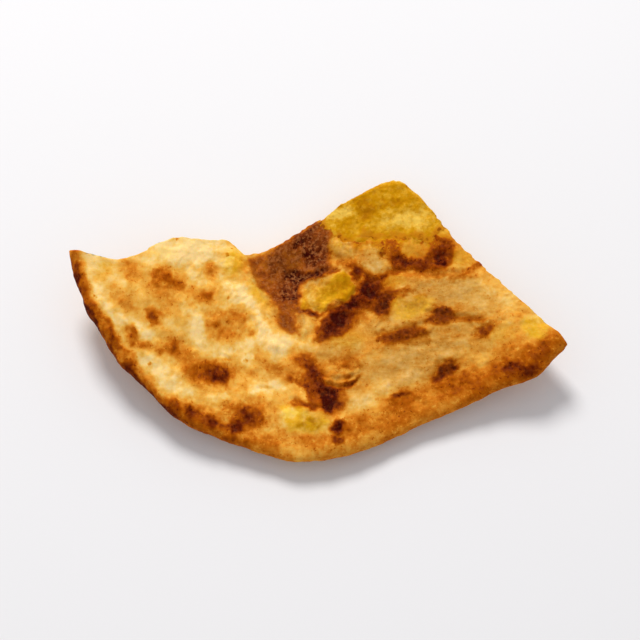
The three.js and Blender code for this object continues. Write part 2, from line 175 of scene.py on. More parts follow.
PALE = [
    ("lobe_crest", -33.7, 16.1, 6.1, 3.1, 5, 0.90), ("lobe_gap", -30.9, -3.2, 4.8, 2.0, -89, 0.80),
    ("ridge_root", -21.8, 7.0, 3.1, 3.1, -50, 0.95), ("ridge", -15.6, -0.0, 6.7, 1.4, -65, 1.00),
    ("ridge_foot", -10.2, -6.7, 5.3, 2.6, -11, 0.85), ("rim_line", -54.5, 1.3, 6.5, 1.3, -60, 0.90),
    ("rim_line_b", -45.2, -5.3, 5.2, 1.7, -32, 0.80), ("west_a", -43.9, -12.0, 3.4, 2.1, -12, 0.60),
    ("west_b", -40.2, -16.2, 3.5, 2.1, -33, 0.50), ("mid_a", -22.4, -7.0, 3.7, 2.2, 0, 0.60),
    ("south_a", -34.2, -20.9, 3.0, 1.7, -11, 0.60), ("south_b", -25.4, -21.6, 3.0, 1.7, 0, 0.50),
    ("mid_b", -16.6, -18.3, 3.8, 3.0, -1, 0.60), ("mid_c", -9.4, -17.7, 3.4, 2.1, 0, 0.50),
    ("mid_d", -17.9, -8.8, 3.4, 2.4, -89, 0.60), ("east_a", 9.9, -23.8, 4.1, 2.5, 33, 0.45),
    ("east_b", 16.4, -18.3, 3.7, 2.1, 17, 0.30), ("cut", 45.5, 4.1, 4.1, 1.7, -44, 0.30),
    ("blister_low", 14.3, 14.2, 3.3, 2.0, -5, 0.80), ("blister_west", 6.1, 19.3, 2.9, 2.1, 0, 0.60),
    ("oval_right", -2.9, -1.5, 2.2, 1.3, -90, 1.00), ("lump_bright", -1.9, 6.6, 2.4, 2.2, 53, 0.80),
    ("foot_left", -8.1, -25.8, 2.4, 1.7, 0, 0.90), ("corner_top", 54.0, -3.4, 2.4, 1.5, -34, 0.30),
]
# Where the duller, darker tan ground lies: thin dry dough, and over the right part painted shade as well.
TAN = [
    ("east_all", 28.8, -2.2, 18.7, 12.1, 6, 0.80), ("middle_field", 4.8, -8.3, 8.1, 3.9, 6, 0.75),
    ("well_around", 8.7, -21.2, 5.7, 3.3, 27, 0.55), ("south_field", -11.0, -14.5, 5.7, 4.3, 0, 0.35),
    ("foot_field", 8.3, -24.6, 4.0, 2.1, 22, 0.40), ("burnt_ash", -9.1, 15.9, 5.4, 3.6, 12, 0.80),
    ("blister_mid", 14.4, 15.9, 4.5, 4.0, 2, 0.90), ("blister_west", 5.7, 18.9, 3.7, 3.4, 1, 0.95),
    ("blister_oval", -4.4, -0.5, 2.0, 1.2, -90, 0.80), ("lump_top", -0.1, 9.9, 3.7, 1.8, 20, 1.00),
    ("lump_end", -1.7, 3.7, 2.5, 1.3, 0, 0.60), ("lump_west", -1.7, 6.6, 3.5, 2.7, 90, 0.75),
    ("east_field", 24.2, -12.0, 14.7, 7.2, 16, 0.95), ("collar_field", 31.5, 6.8, 10.6, 4.4, 0, 1.00),
    ("west_field", 12.0, -14.7, 5.7, 4.3, 13, 0.70), ("cut_field", 41.9, 3.7, 6.5, 3.9, -34, 0.45),
    ("well_lens", 3.9, -15.7, 2.8, 1.5, 11, 0.80),
]
OIL = [
    ("lump_a", 6.9, 8.9, 3.9, 3.5, 18, 1.60), ("lump_b", 3.2, 7.3, 3.3, 2.3, 24, 1.40),
    ("lump_c", 0.3, 5.1, 1.5, 1.1, 36, 0.80), ("east", 24.1, 4.2, 4.1, 3.1, 1, 1.90),
    ("east_b", 22.1, 5.4, 2.5, 1.3, 0, 1.20), ("collar", 24.3, 18.7, 2.7, 2.5, 5, 0.50),
    ("torn", 32.5, 21.5, 2.5, 1.3, 1, 0.40), ("foot", -2.1, -28.6, 3.2, 2.3, -17, 1.70),
    ("foot_b", -5.3, -29.4, 2.4, 1.1, 0, 0.90), ("lump_rim", 0.8, 10.2, 2.1, 0.9, 27, 0.45),
]
BLISTER = [
    ("west", 4.9, 18.8, 3.1, 2.9, 2, 1.00), ("middle", 14.8, 15.5, 4.1, 3.6, 2, 1.00),
    ("oval", -3.3, -1.0, 2.6, 2.0, -90, 0.90),
]

# Larger patches with an outline of their own: name, strength, corners. Browned, stained and
# blistered.
TOASTED = [
    ("burnt_core", 0.84, [(-9.5, 13.3), (-7.0, 14.2), (-4.5, 13.6), (-1.2, 13.3), (1.3, 12.9), (-0.8, 11.5),
        (-3.7, 10.7), (-4.9, 8.5), (-6.2, 5.1), (-8.2, 5.1), (-9.9, 8.6), (-9.1, 11.3)]),
    ("burnt_top", 0.82, [(-3.6, 22.4), (-2.3, 24.7), (-0.2, 26.0), (2.9, 24.4), (3.0, 21.6), (2.2, 17.4),
        (3.0, 14.3), (0.1, 13.0), (-3.3, 13.9), (-4.5, 17.3), (-4.0, 20.0)]),
    ("burnt", 0.58, [(-18.9, 16.9), (-15.2, 17.3), (-11.5, 19.5), (-8.8, 20.9), (-6.1, 22.6), (-3.2, 24.5),
        (-0.5, 26.3), (3.3, 24.3), (3.5, 22.4), (2.6, 19.0), (3.0, 15.6), (5.4, 13.2), (2.1, 12.8), (-1.6, 12.2),
        (-4.1, 10.3), (-4.9, 7.0), (-6.2, 3.8), (-2.9, 1.8), (-0.9, 0.6), (-4.6, 0.5), (-5.8, -1.7), (-4.6, -4.7),
        (-8.3, -3.9), (-10.7, -1.8), (-10.3, 1.2), (-10.7, 3.7), (-12.8, 6.7), (-15.6, 8.7), (-17.6, 11.4)]),
    ("char", 0.72, [(-1.8, -6.1), (-0.5, -3.0), (0.3, -0.3), (2.4, 1.9), (4.1, 3.1), (6.6, 4.2), (9.0, 6.0),
        (10.7, 7.2), (11.1, 10.2), (12.0, 12.2), (14.9, 12.1), (16.1, 9.7), (16.9, 7.7), (18.9, 6.3), (18.5, 3.2),
        (18.0, 0.3), (15.1, 0.7), (12.7, 2.2), (10.2, 2.2), (9.1, -0.4), (8.1, -3.1), (6.0, -4.9), (2.7, -5.7),
        (-0.1, -7.0)]),
    ("well", 0.70, [(-6.7, -10.3), (-3.8, -9.9), (-1.4, -11.7), (0.2, -13.8), (0.6, -16.6), (2.2, -18.1),
        (5.0, -18.5), (8.2, -17.1), (9.3, -17.4), (7.9, -18.7), (5.8, -20.0), (5.0, -21.7), (4.9, -24.0),
        (3.1, -26.3), (1.1, -25.8), (-0.8, -24.0), (-3.0, -24.9), (-5.6, -24.6), (-7.7, -23.1), (-6.8, -22.6),
        (-4.3, -23.2), (-2.4, -23.0), (-3.6, -20.0), (-5.5, -18.3), (-7.4, -16.7), (-4.9, -15.8), (-3.9, -14.5),
        (-5.5, -12.5)]),
    ("well_core", 0.90, [(0.1, -19.5), (4.6, -19.1), (5.0, -21.7), (4.1, -24.4), (2.5, -26.2), (1.0, -25.0),
        (-0.3, -22.8)]),
    ("well_core_b", 0.84, [(-2.1, -14.3), (-0.0, -14.8), (0.3, -17.3), (-1.3, -18.5), (-2.9, -16.5)]),
    ("collar", 0.66, [(18.1, 20.5), (19.6, 21.1), (21.7, 21.1), (24.1, 21.4), (24.8, 21.3), (22.9, 20.7),
        (21.6, 19.0), (22.0, 17.3), (23.2, 16.3), (25.7, 15.8), (27.6, 16.3), (28.4, 18.4), (27.8, 20.2),
        (30.1, 21.1), (32.4, 21.1), (35.0, 20.2), (35.3, 16.8), (34.7, 13.6), (32.8, 11.9), (30.1, 12.1),
        (27.3, 12.1), (24.0, 12.5), (21.1, 11.3), (18.4, 11.6), (18.7, 15.1), (17.9, 17.8)]),
    ("collar_dark", 0.80, [(29.2, 18.2), (31.5, 19.7), (33.5, 18.8), (34.1, 16.1), (33.6, 13.7), (32.0, 12.5),
        (29.7, 13.0), (29.0, 15.7)]),
    ("collar_low", 0.76, [(19.1, 15.2), (21.2, 16.3), (23.6, 15.4), (26.1, 14.2), (25.2, 12.8), (21.9, 12.0),
        (19.0, 12.6)]),
    ("south_core", 0.68, [(-31.3, -17.6), (-30.6, -15.3), (-28.6, -14.0), (-25.8, -12.8), (-23.0, -13.6),
        (-22.2, -15.3), (-23.4, -17.1), (-25.7, -18.6), (-28.6, -18.3)]),
    ("south_east", 0.66, [(28.1, -18.4), (28.5, -16.3), (30.2, -14.9), (32.3, -13.8), (34.7, -13.2), (36.3, -14.1),
        (34.6, -16.1), (31.7, -17.5), (29.7, -18.5)]),
    ("south_east_low", 0.56, [(16.3, -23.0), (17.9, -21.5), (19.9, -20.5), (22.4, -19.9), (22.8, -20.7),
        (20.8, -22.0), (18.3, -22.7)]),
    ("edge_left", 0.60, [(-39.0, -23.3), (-37.3, -22.3), (-35.3, -22.9), (-34.2, -24.5), (-33.3, -26.5),
        (-35.1, -26.9), (-37.0, -25.3)]),
    ("edge_mid", 0.74, [(-30.2, -26.1), (-28.1, -25.7), (-26.5, -26.9), (-25.3, -28.8), (-26.5, -30.5),
        (-28.8, -29.9), (-30.5, -28.1)]),
    ("edge_mid_b", 0.62, [(-34.1, -26.1), (-32.5, -25.0), (-30.1, -25.1), (-28.9, -26.6), (-29.7, -28.8),
        (-33.8, -30.4), (-35.6, -28.8)]),
    ("edge_dark", 0.84, [(-22.9, -29.5), (-21.7, -28.3), (-19.7, -28.6), (-18.9, -30.2), (-20.1, -31.6),
        (-22.1, -31.6)]),
    ("edge_right", 0.70, [(-20.5, -24.9), (-18.5, -23.3), (-15.7, -23.7), (-14.1, -25.7), (-13.7, -28.6),
        (-16.1, -30.2), (-18.9, -29.8), (-20.1, -27.0)]),
    ("lobe", 0.38, [(-43.6, 8.1), (-42.4, 10.8), (-39.2, 12.0), (-36.0, 11.2), (-33.5, 8.3), (-35.1, 5.9),
        (-38.7, 5.8), (-41.9, 6.0)]),
    ("spot", 0.47, [(-33.0, -17.2), (-31.8, -13.4), (-28.2, -11.4), (-23.0, -12.7), (-22.6, -16.6), (-25.8, -19.4),
        (-30.1, -18.9)]),
    ("edge", 0.56, [(-36.9, -24.2), (-32.9, -24.4), (-29.7, -25.4), (-25.8, -26.6), (-23.7, -28.2), (-21.7, -25.3),
        (-18.9, -23.1), (-15.2, -24.0), (-14.0, -27.0), (-15.7, -29.8), (-19.7, -31.6), (-24.1, -30.8),
        (-29.8, -29.6), (-33.4, -27.7)]),
    ("band", 0.36, [(16.3, -22.7), (20.3, -20.3), (26.9, -17.9), (28.6, -15.5), (31.4, -13.5), (34.7, -13.7),
        (35.8, -16.2), (40.3, -14.7), (46.3, -13.3), (50.3, -12.2), (53.5, -9.2), (57.5, -7.5), (59.9, -7.5),
        (62.4, -10.1), (59.6, -15.3), (55.7, -18.9), (49.5, -20.0), (45.6, -22.6), (38.8, -24.8), (30.3, -27.9),
        (23.4, -28.5), (18.5, -29.9), (9.6, -32.1), (5.6, -33.1), (6.5, -29.0), (10.5, -26.8), (14.6, -25.8)]),
    ("bridge", 0.46, [(5.9, 15.9), (8.8, 15.9), (11.6, 13.0), (17.0, 11.8), (19.5, 14.3), (21.1, 12.8),
        (16.9, 10.1), (11.2, 9.8), (9.9, 12.3), (6.7, 12.8)]),
    ("east", 0.64, [(26.1, -2.0), (27.8, -0.3), (29.4, 1.6), (31.5, 2.7), (33.5, 2.1), (35.1, 0.3), (36.2, -1.2),
        (35.4, -2.9), (31.7, -2.8), (28.9, -3.2)]),
    ("east_tail", 0.52, [(34.3, 0.3), (37.1, -0.6), (39.9, -1.3), (43.4, -1.8), (44.2, -2.8), (41.4, -3.4),
        (37.8, -3.3), (34.6, -2.6)]),
    ("east_right", 0.58, [(38.9, -6.0), (40.5, -4.9), (42.6, -4.2), (45.4, -4.0), (44.1, -5.4), (42.9, -7.0),
        (40.8, -7.6), (39.2, -7.0)]),
    ("east_low", 0.63, [(14.6, -6.3), (16.3, -3.8), (18.7, -3.4), (21.5, -3.3), (24.0, -2.7), (26.8, -3.2),
        (28.4, -4.6), (28.0, -6.1), (25.1, -6.7), (22.3, -6.8), (19.4, -7.0), (16.9, -7.8)]),
    # east_shade is painted shade, not browning.
    ("east_shade", 0.44, [(18.7, -5.7), (24.0, -5.6), (28.4, -5.3), (28.8, -7.0), (24.7, -8.6), (20.6, -7.5)]),
]
AMBERED = [
    ("margin", 0.50, [(9.1, 20.7), (13.0, 21.5), (17.1, 21.0), (20.4, 20.9), (21.2, 18.5), (18.7, 17.7),
        (16.2, 18.8), (13.0, 19.5), (10.5, 19.0), (8.8, 19.2)]),
    ("lobe", 0.31, [(-50.0, 13.3), (-46.0, 13.6), (-42.0, 11.7), (-39.2, 13.0), (-35.2, 12.2), (-31.9, 9.4),
        (-29.1, 7.4), (-26.2, 5.4), (-25.4, 2.4), (-28.2, 1.8), (-30.6, 3.2), (-33.1, 1.6), (-35.5, 1.9),
        (-38.7, 1.3), (-41.1, 2.3), (-43.9, 0.7), (-47.1, 0.5), (-49.1, 2.4), (-48.3, 5.8), (-49.6, 9.4)]),
    ("lobe_left", 0.30, [(-54.3, 5.6), (-51.5, 6.5), (-49.1, 4.8), (-47.1, 2.5), (-45.0, 0.2), (-47.9, -0.7),
        (-50.6, 0.6), (-53.5, 2.2)]),
    ("collar_in", 0.40, [(21.6, 19.8), (23.3, 20.7), (26.2, 20.6), (27.8, 19.3), (27.4, 16.7), (24.9, 15.8),
        (22.4, 16.5), (21.6, 18.1)]),
    ("middle_top", 0.50, [(15.1, 20.6), (17.5, 21.0), (19.2, 19.0), (19.1, 16.0), (17.4, 14.8), (15.4, 16.4)]),
    ("ridge_side", 0.38, [(-29.4, 1.2), (-25.8, 1.6), (-22.6, 3.1), (-19.7, 3.6), (-17.2, 1.5), (-17.3, -1.8),
        (-18.1, -5.2), (-20.1, -6.1), (-22.2, -4.6), (-23.4, -6.4), (-25.8, -6.5), (-28.6, -5.6), (-29.0, -2.2)]),
    ("south", 0.37, [(-41.8, -8.3), (-38.6, -5.9), (-35.8, -4.9), (-33.8, -6.7), (-32.3, -9.1), (-30.6, -11.2),
        (-27.4, -11.7), (-23.8, -12.0), (-20.9, -13.5), (-21.3, -17.0), (-25.4, -19.0), (-29.3, -19.7),
        (-32.6, -18.4), (-33.8, -15.6), (-35.4, -13.5), (-36.6, -10.7), (-39.4, -10.2)]),
    ("streak", 0.40, [(-49.8, -3.4), (-47.8, -3.7), (-46.6, -6.1), (-45.0, -8.0), (-42.6, -9.0), (-40.6, -9.4),
        (-43.0, -11.2), (-46.2, -9.6), (-48.6, -7.7), (-50.2, -5.8)]),
    ("well_west", 0.36, [(-17.3, -8.7), (-14.0, -9.8), (-10.8, -11.1), (-7.9, -10.3), (-5.5, -12.9), (-5.9, -16.0),
        (-8.8, -16.5), (-12.0, -14.1), (-15.3, -12.9)]),
    ("well_east", 0.47, [(3.0, -10.9), (5.9, -10.4), (10.4, -10.4), (11.6, -12.9), (9.9, -15.0), (7.5, -14.6),
        (5.1, -14.1), (2.6, -13.0)]),
    ("foot_left", 0.41, [(-13.6, -24.0), (-10.8, -23.1), (-10.0, -26.2), (-10.0, -29.4), (-8.5, -31.1),
        (-10.4, -33.3), (-13.7, -31.9), (-14.9, -27.8)]),
    ("foot_low", 0.42, [(-9.3, -30.3), (-5.7, -31.2), (-1.6, -31.2), (1.6, -30.5), (3.2, -33.1), (-0.1, -35.6),
        (-5.7, -35.0), (-9.3, -33.2)]),
    ("edge_low", 0.44, [(-41.8, -19.3), (-37.0, -21.6), (-33.0, -23.1), (-29.3, -23.8), (-25.8, -24.5),
        (-22.5, -23.2), (-19.7, -22.3), (-16.0, -22.6), (-13.6, -24.0), (-12.5, -27.3), (-14.1, -32.0),
        (-20.7, -34.0), (-28.5, -31.7), (-34.9, -29.7), (-38.7, -24.1)]),
    ("mid_low", 0.30, [(-23.3, -17.6), (-20.1, -16.5), (-16.9, -13.8), (-13.6, -11.1), (-10.8, -12.0),
        (-7.9, -13.4), (-9.1, -16.4), (-13.3, -16.4), (-16.9, -19.6), (-20.1, -21.9), (-23.4, -21.0)]),
    ("dot_up", 0.34, [(-29.9, 14.0), (-27.5, 15.2), (-25.4, 13.5), (-25.9, 10.4), (-28.3, 9.3), (-29.9, 11.4)]),
]
STAINED = [
    ("lump", 1.00, [(-4.9, 3.3), (-4.0, 6.4), (-3.3, 8.3), (-2.3, 9.7), (-1.4, 10.1), (-0.6, 9.1), (0.9, 10.5),
        (2.6, 10.7), (4.3, 11.8), (6.6, 12.3), (8.0, 11.4), (8.7, 9.7), (9.9, 8.5), (9.3, 7.1), (7.9, 6.0),
        (7.0, 4.5), (5.7, 4.3), (4.5, 4.7), (2.4, 3.5), (1.2, 2.2), (-0.0, 2.4), (-1.3, 3.1), (-3.6, 2.8)]),
    ("collar", 0.50, [(21.6, 17.2), (22.1, 19.8), (24.2, 20.7), (26.6, 19.3), (27.0, 17.2), (25.3, 16.0),
        (22.8, 16.1)]),
    ("east", 0.75, [(18.8, 1.9), (18.9, 4.4), (20.5, 5.7), (23.0, 4.8), (26.7, 5.9), (29.5, 4.3), (29.1, 2.1),
        (26.5, -0.0), (22.4, -0.9), (19.6, -0.3)]),
    ("foot", 1.00, [(-10.4, -24.0), (-8.4, -23.4), (-6.8, -24.5), (-5.2, -24.0), (-3.2, -25.5), (-1.5, -26.8),
        (0.5, -26.4), (2.5, -28.5), (0.8, -30.1), (-2.0, -31.0), (-4.8, -30.3), (-7.2, -30.6), (-8.9, -28.4)]),
    ("corner", 1.00, [(52.2, -3.1), (55.8, -3.3), (58.0, -6.3), (55.9, -8.6), (53.2, -8.2), (51.7, -6.1)]),
]
BLISTERED = [
    ("west", 0.80, [(3.0, 20.1), (5.1, 21.0), (8.0, 20.4), (9.6, 18.8), (9.2, 16.7), (6.7, 16.6), (4.2, 17.5)]),
    ("middle", 1.00, [(10.4, 16.1), (11.3, 18.1), (13.4, 18.6), (15.0, 17.7), (15.8, 15.7), (17.8, 14.9),
        (18.8, 13.6), (17.4, 11.9), (14.9, 11.5), (12.4, 12.5), (10.8, 14.3)]),
    ("oval", 1.00, [(-5.4, 0.9), (-3.3, 1.3), (-1.7, -0.4), (-2.1, -3.2), (-3.8, -4.4), (-5.0, -1.8)]),
    ("lens", 0.70, [(1.0, -16.2), (3.8, -14.4), (7.4, -15.1), (5.8, -17.0), (1.7, -17.8)]),
]


# ---- noise ---------------------------------------------------------------------------------
def _mix(i, j, k, seed):
    h = (i * 73856093) ^ (j * 19349663) ^ (k * 83492791) ^ (seed * 40503 + 977)
    h &= 0xFFFFFFFF
    h ^= h >> 15
    h = (h * 2246822519) & 0xFFFFFFFF
    h ^= h >> 13
    h = (h * 3266489917) & 0xFFFFFFFF
    return h ^ (h >> 16)


_G = np.array([(1, 1, 0), (-1, 1, 0), (1, -1, 0), (-1, -1, 0), (1, 0, 1), (-1, 0, 1), (1, 0, -1), (-1, 0, -1),
               (0, 1, 1), (0, -1, 1), (0, 1, -1), (0, -1, -1)], float)


def noise(p, size, seed=0):
    """Smooth noise of about -1 to 1, its grain about size across, at the points p (n, 3)."""
    q = np.asarray(p, float) / size + 0.37 * (seed % 17)
    i = np.floor(q).astype(np.int64)
    f = q - i
    u = f * f * f * (f * (f * 6 - 15) + 10)
    out = 0.0
    for a in (0, 1):
        for b in (0, 1):
            for c in (0, 1):
                g = _G[_mix(i[:, 0] + a, i[:, 1] + b, i[:, 2] + c, seed) % 12]
                d = g[:, 0] * (f[:, 0] - a) + g[:, 1] * (f[:, 1] - b) + g[:, 2] * (f[:, 2] - c)
                w = (u[:, 0] if a else 1 - u[:, 0]) * (u[:, 1] if b else 1 - u[:, 1]) * (u[:, 2] if c else 1 - u[:, 2])
                out = out + w * d
    return out * 1.15


def fbm(p, size, seed=0, octaves=3, gain=0.5):
    out, amp, total = 0.0, 1.0, 0.0
    for o in range(octaves):
        out = out + amp * noise(p, size / 2 ** o, seed + 31 * o)
        total += amp
        amp *= gain
    return out / total


def cells(p, size, seed=0):
    """Distance to the nearest of scattered points, and to the second nearest, in units of size."""
    q = np.asarray(p, float) / size
    i = np.floor(q).astype(np.int64)
    best = np.full(len(q), 9.0)
    second = np.full(len(q), 9.0)
    for a in (-1, 0, 1):
        for b in (-1, 0, 1):
            for c in (-1, 0, 1):
                ii, jj, kk = i[:, 0] + a, i[:, 1] + b, i[:, 2] + c
                h = [_mix(ii, jj, kk, seed + 101 * m) / 4294967296.0 for m in range(3)]
                d = np.sqrt((ii + h[0] - q[:, 0]) ** 2 + (jj + h[1] - q[:, 1]) ** 2 + (kk + h[2] - q[:, 2]) ** 2)
                second = np.minimum(second, np.maximum(best, d))
                best = np.minimum(best, d)
    return best, second


def clamp(v, lo=0.0, hi=1.0):
    return np.minimum(hi, np.maximum(lo, v))


def ease(v):
    k = clamp(v)
    return k * k * (3 - 2 * k)


def step(lo, hi, v):
    return ease((v - lo) / (hi - lo))


def flat(x, y, z=0.0):
    x = np.asarray(x, float)
    return np.stack([x, np.broadcast_to(y, x.shape), np.broadcast_to(z, x.shape)], -1)


# ---- the form, as the CAD solids have it ---------------------------------------------------
class Curve:
    """A smooth curve through the knots, walked by its length."""

    def __init__(self, knots, steps=200):
        self.k = np.array(knots, float)
        q = self.point(np.linspace(0, 1, steps + 1))
        self.run = np.concatenate([[0], np.cumsum(np.hypot(*(q[1:] - q[:-1]).T))])
        self.steps = steps

    def point(self, u):
        n = len(self.k)
        x = (n - 1) * np.asarray(u, float)
        i = np.minimum(np.floor(x).astype(int), n - 1)
        w = (x - i)[..., None]
        p0, p1 = self.k[np.maximum(i - 1, 0)], self.k[i]
        p2, p3 = self.k[np.minimum(i + 1, n - 1)], self.k[np.minimum(i + 2, n - 1)]
        a, b = (p2 - p0) / 2, (p3 - p1) / 2
        return (2 * p1 - 2 * p2 + a + b) * w ** 3 + (-3 * p1 + 3 * p2 - 2 * a - b) * w ** 2 + a * w + p1

    def at(self, u):
        u = clamp(np.asarray(u, float))
        return self.point(np.interp(u * self.run[-1], self.run, np.linspace(0, 1, self.steps + 1)))


tip_edge, left_cut, right_cut, rim_edge = (Curve(k) for k in (TIP_EDGE, LEFT_CUT, RIGHT_CUT, RIM_EDGE))
corners = [np.array(v) for v in (TIP_LEFT, TIP_RIGHT, LEFT_CORNER, RIGHT_CORNER)]


def plan(s, t):
    s, t = np.broadcast_arrays(np.asarray(s, float), np.asarray(t, float))
    tip, rim, lef, rig = tip_edge.at(t), rim_edge.at(t), left_cut.at(s), right_cut.at(s)
    s, t = s[..., None], t[..., None]
    return ((1 - s) * tip + s * rim + (1 - t) * lef + t * rig -
            ((1 - s) * (1 - t) * corners[0] + (1 - s) * t * corners[1] + s * (1 - t) * corners[2] + s * t * corners[3]))


def reach(t):
    return np.linalg.norm(tip_edge.at(t) - rim_edge.at(t), axis=-1)


def underside(x, y):
    def lift(d, height, start, over, power):
        return height * clamp((d - start) / over) ** power
    return lift(-x, 14, 14, 48, 1.6) + lift(x, 11, 16, 46, 1.7) + lift(y, 6, 8, 30, 1.5) + lift(-y, 3, 14, 22, 1.5)


def turned(x, y, cx, cy, rx, ry, turn):
    a = math.radians(turn)
    dx, dy = x - cx, y - cy
    return (dx * math.cos(a) + dy * math.sin(a)) / rx, (-dx * math.sin(a) + dy * math.cos(a)) / ry


def thickness(s, t, x, y):
    from_rim = (1 - s) * reach(t)
    body = RIM_THICK + (THICK - RIM_THICK) * ease((from_rim - NOSE) / RIM_TAPER)
    whole = TIP_THICK + (body - TIP_THICK) * ease(s / 0.2)
    swell = 0.0
    for cx, cy, rx, ry, turn, height in SWELLS:
        u, v = turned(x, y, cx, cy, rx, ry, turn)
        swell = swell + height * np.exp(-(u * u + v * v))
    inner = ease((from_rim - NOSE) / 6)
    press = CUT_PRESS * (2 - ease(t / CUT_PRESS_WIDTH) - ease((1 - t) / CUT_PRESS_WIDTH))
    return whole + swell * inner - press * inner


def tear_line(t):
    """Where the upper dough is torn off, as a share of the way from the tip; ragged."""
    t = np.asarray(t, float)
    base = (TEAR - TEAR_LEFT * (1 - ease(t / 0.45)) - TEAR_RIGHT * ease((t - 0.8) / 0.2) +
            TEAR_SWAY * (0.6 * np.sin(11 * t - 0.6) + 0.4 * np.sin(27 * t - 2)))
    q = flat(t.ravel() * 40, 3.1, 0.7)
    rag = 0.7 * noise(q, 3.2, 5) + 0.45 * noise(q, 1.4, 6) + 0.2 * noise(q, 0.6, 7)
    return base + rag.reshape(t.shape) / reach(t)


def near(p, curve, n=500):
    """Distance in plan from the points p (n, 2) to a curve, and the share of the way along the curve to its nearest
    point.
    """
    q = curve.at(np.linspace(0, 1, n))
    out_d, out_i = np.empty(len(p)), np.empty(len(p), int)
    for a in range(0, len(p), 20000):
        d = np.hypot(p[a:a + 20000, None, 0] - q[None, :, 0], p[a:a + 20000, None, 1] - q[None, :, 1])
        out_i[a:a + 20000] = d.argmin(1)
        out_d[a:a + 20000] = d.min(1)
    return out_d, out_i / (n - 1)


# ---- how the surface is marked and raised --------------------------------------------------
def warp(x, y, seed, a=1.0):
    """The points shifted a little at random, so that no mark keeps a smooth outline."""
    p = flat(x, y, 0.0)
    wx = 0.4 * noise(p, 5.5, seed) + 0.65 * noise(p, 2.3, seed + 1) + 0.38 * noise(p, 1.0, seed + 2)
    wy = 0.4 * noise(p, 5.5, seed + 3) + 0.65 * noise(p, 2.3, seed + 4) + 0.38 * noise(p, 1.0, seed + 5)
    return x + a * wx, y + a * wy


def stamp(x, y, table, full=0.4, none=1.35, power=5.0):
    """The table's marks laid over each other, each fading from its full core to nothing outside."""
    total = np.zeros_like(x)
    for _, cx, cy, rx, ry, turn, strength in table:
        u, v = turned(x, y, cx, cy, rx, ry, turn)
        r = np.sqrt(u * u + v * v)
        total += (strength * step(none, full, r)) ** power
    return total ** (1 / power)


# Along the rim, from the left corner (0) to the right one (1): how dark and how wide the
# baked edge is, and the paler band inside it.
RIM_AT = [0.00, 0.10, 0.22, 0.34, 0.42, 0.50, 0.58, 0.66, 0.74, 0.82, 0.90, 0.96, 1.00]
EDGE_DARK = [0.74, 0.88, 0.80, 0.72, 0.56, 0.36, 0.30, 0.32, 0.34, 0.38, 0.46, 0.48, 0.44]
EDGE_WIDE = [1.0, 1.1, 1.0, 0.9, 1.0, 1.2, 1.3, 1.4, 1.6, 2.0, 2.2, 2.2, 2.2]
BAND_DARK = [0.50, 0.53, 0.50, 0.44, 0.42, 0.36, 0.33, 0.31, 0.32, 0.37, 0.43, 0.43, 0.40]
BAND_WIDE = [2.8, 3.8, 3.3, 3.0, 3.8, 5.6, 7.0, 8.4, 9.4, 9.0, 7.6, 6.6, 6.0]


def rim_toast(x, y, d, at):
    """Browning of the rim at distance d inside it, at the share `at` along it."""
    p = flat(x, y, 0.0)
    d = d + 0.9 * noise(p, 4.5, 61) + 0.5 * noise(p, 1.8, 62) + 0.25 * noise(p, 0.8, 63)
    dark, wide = np.interp(at, RIM_AT, EDGE_DARK), np.interp(at, RIM_AT, EDGE_WIDE)
    band, band_wide = np.interp(at, RIM_AT, BAND_DARK), np.interp(at, RIM_AT, BAND_WIDE)
    mottle = 1 + 0.34 * noise(p, 3.6, 64) + 0.22 * noise(p, 1.6, 65) + 0.10 * noise(p, 0.8, 66)
    d = d + 1.3 * noise(p, 7.5, 67)
    return np.maximum(dark * step(wide * 1.3, wide * 0.3, d), band * mottle * step(band_wide * 1.2, band_wide * 0.5, d))


def patch_depth(x, y, corners):
    """Distance inside the outline (negative outside)."""
    k = np.array(corners, float)
    best = np.full(len(x), 1e9)
    odd = np.zeros(len(x), bool)
    for (ax, ay), (bx, by) in zip(k, np.roll(k, -1, 0)):
        ex, ey = bx - ax, by - ay
        w = clamp(((x - ax) * ex + (y - ay) * ey) / (ex * ex + ey * ey))
        best = np.minimum(best, np.hypot(x - ax - w * ex, y - ay - w * ey))
        odd ^= ((ay > y) != (by > y)) & (x < ax + (y - ay) / (ey if ey else 1e-9) * ex)
    return np.where(odd, best, -best)


def patches(x, y, table, soft=0.8):
    out = np.zeros_like(x)
    for _, strength, corners in table:
        k = np.array(corners)
        m = (x > k[:, 0].min() - 3) & (x < k[:, 0].max() + 3) & (y > k[:, 1].min() - 3) & (y < k[:, 1].max() + 3)
        if m.any():
            out[m] = np.maximum(out[m], strength * step(-soft, soft, patch_depth(x[m], y[m], corners)))
    return out


def blobs(x, y, table, power=3.0, sharp=0.9):
    """The table's marks as soft hills of browning, laid over each other."""
    total = np.zeros_like(x)
    for _, cx, cy, rx, ry, turn, strength in table:
        u, v = turned(x, y, cx, cy, rx, ry, turn)
        r2 = u * u + v * v
        total += (strength * np.minimum(1.0, 1.08 * np.exp(-sharp * r2 ** 1.25))) ** power
    return total ** (1 / power)


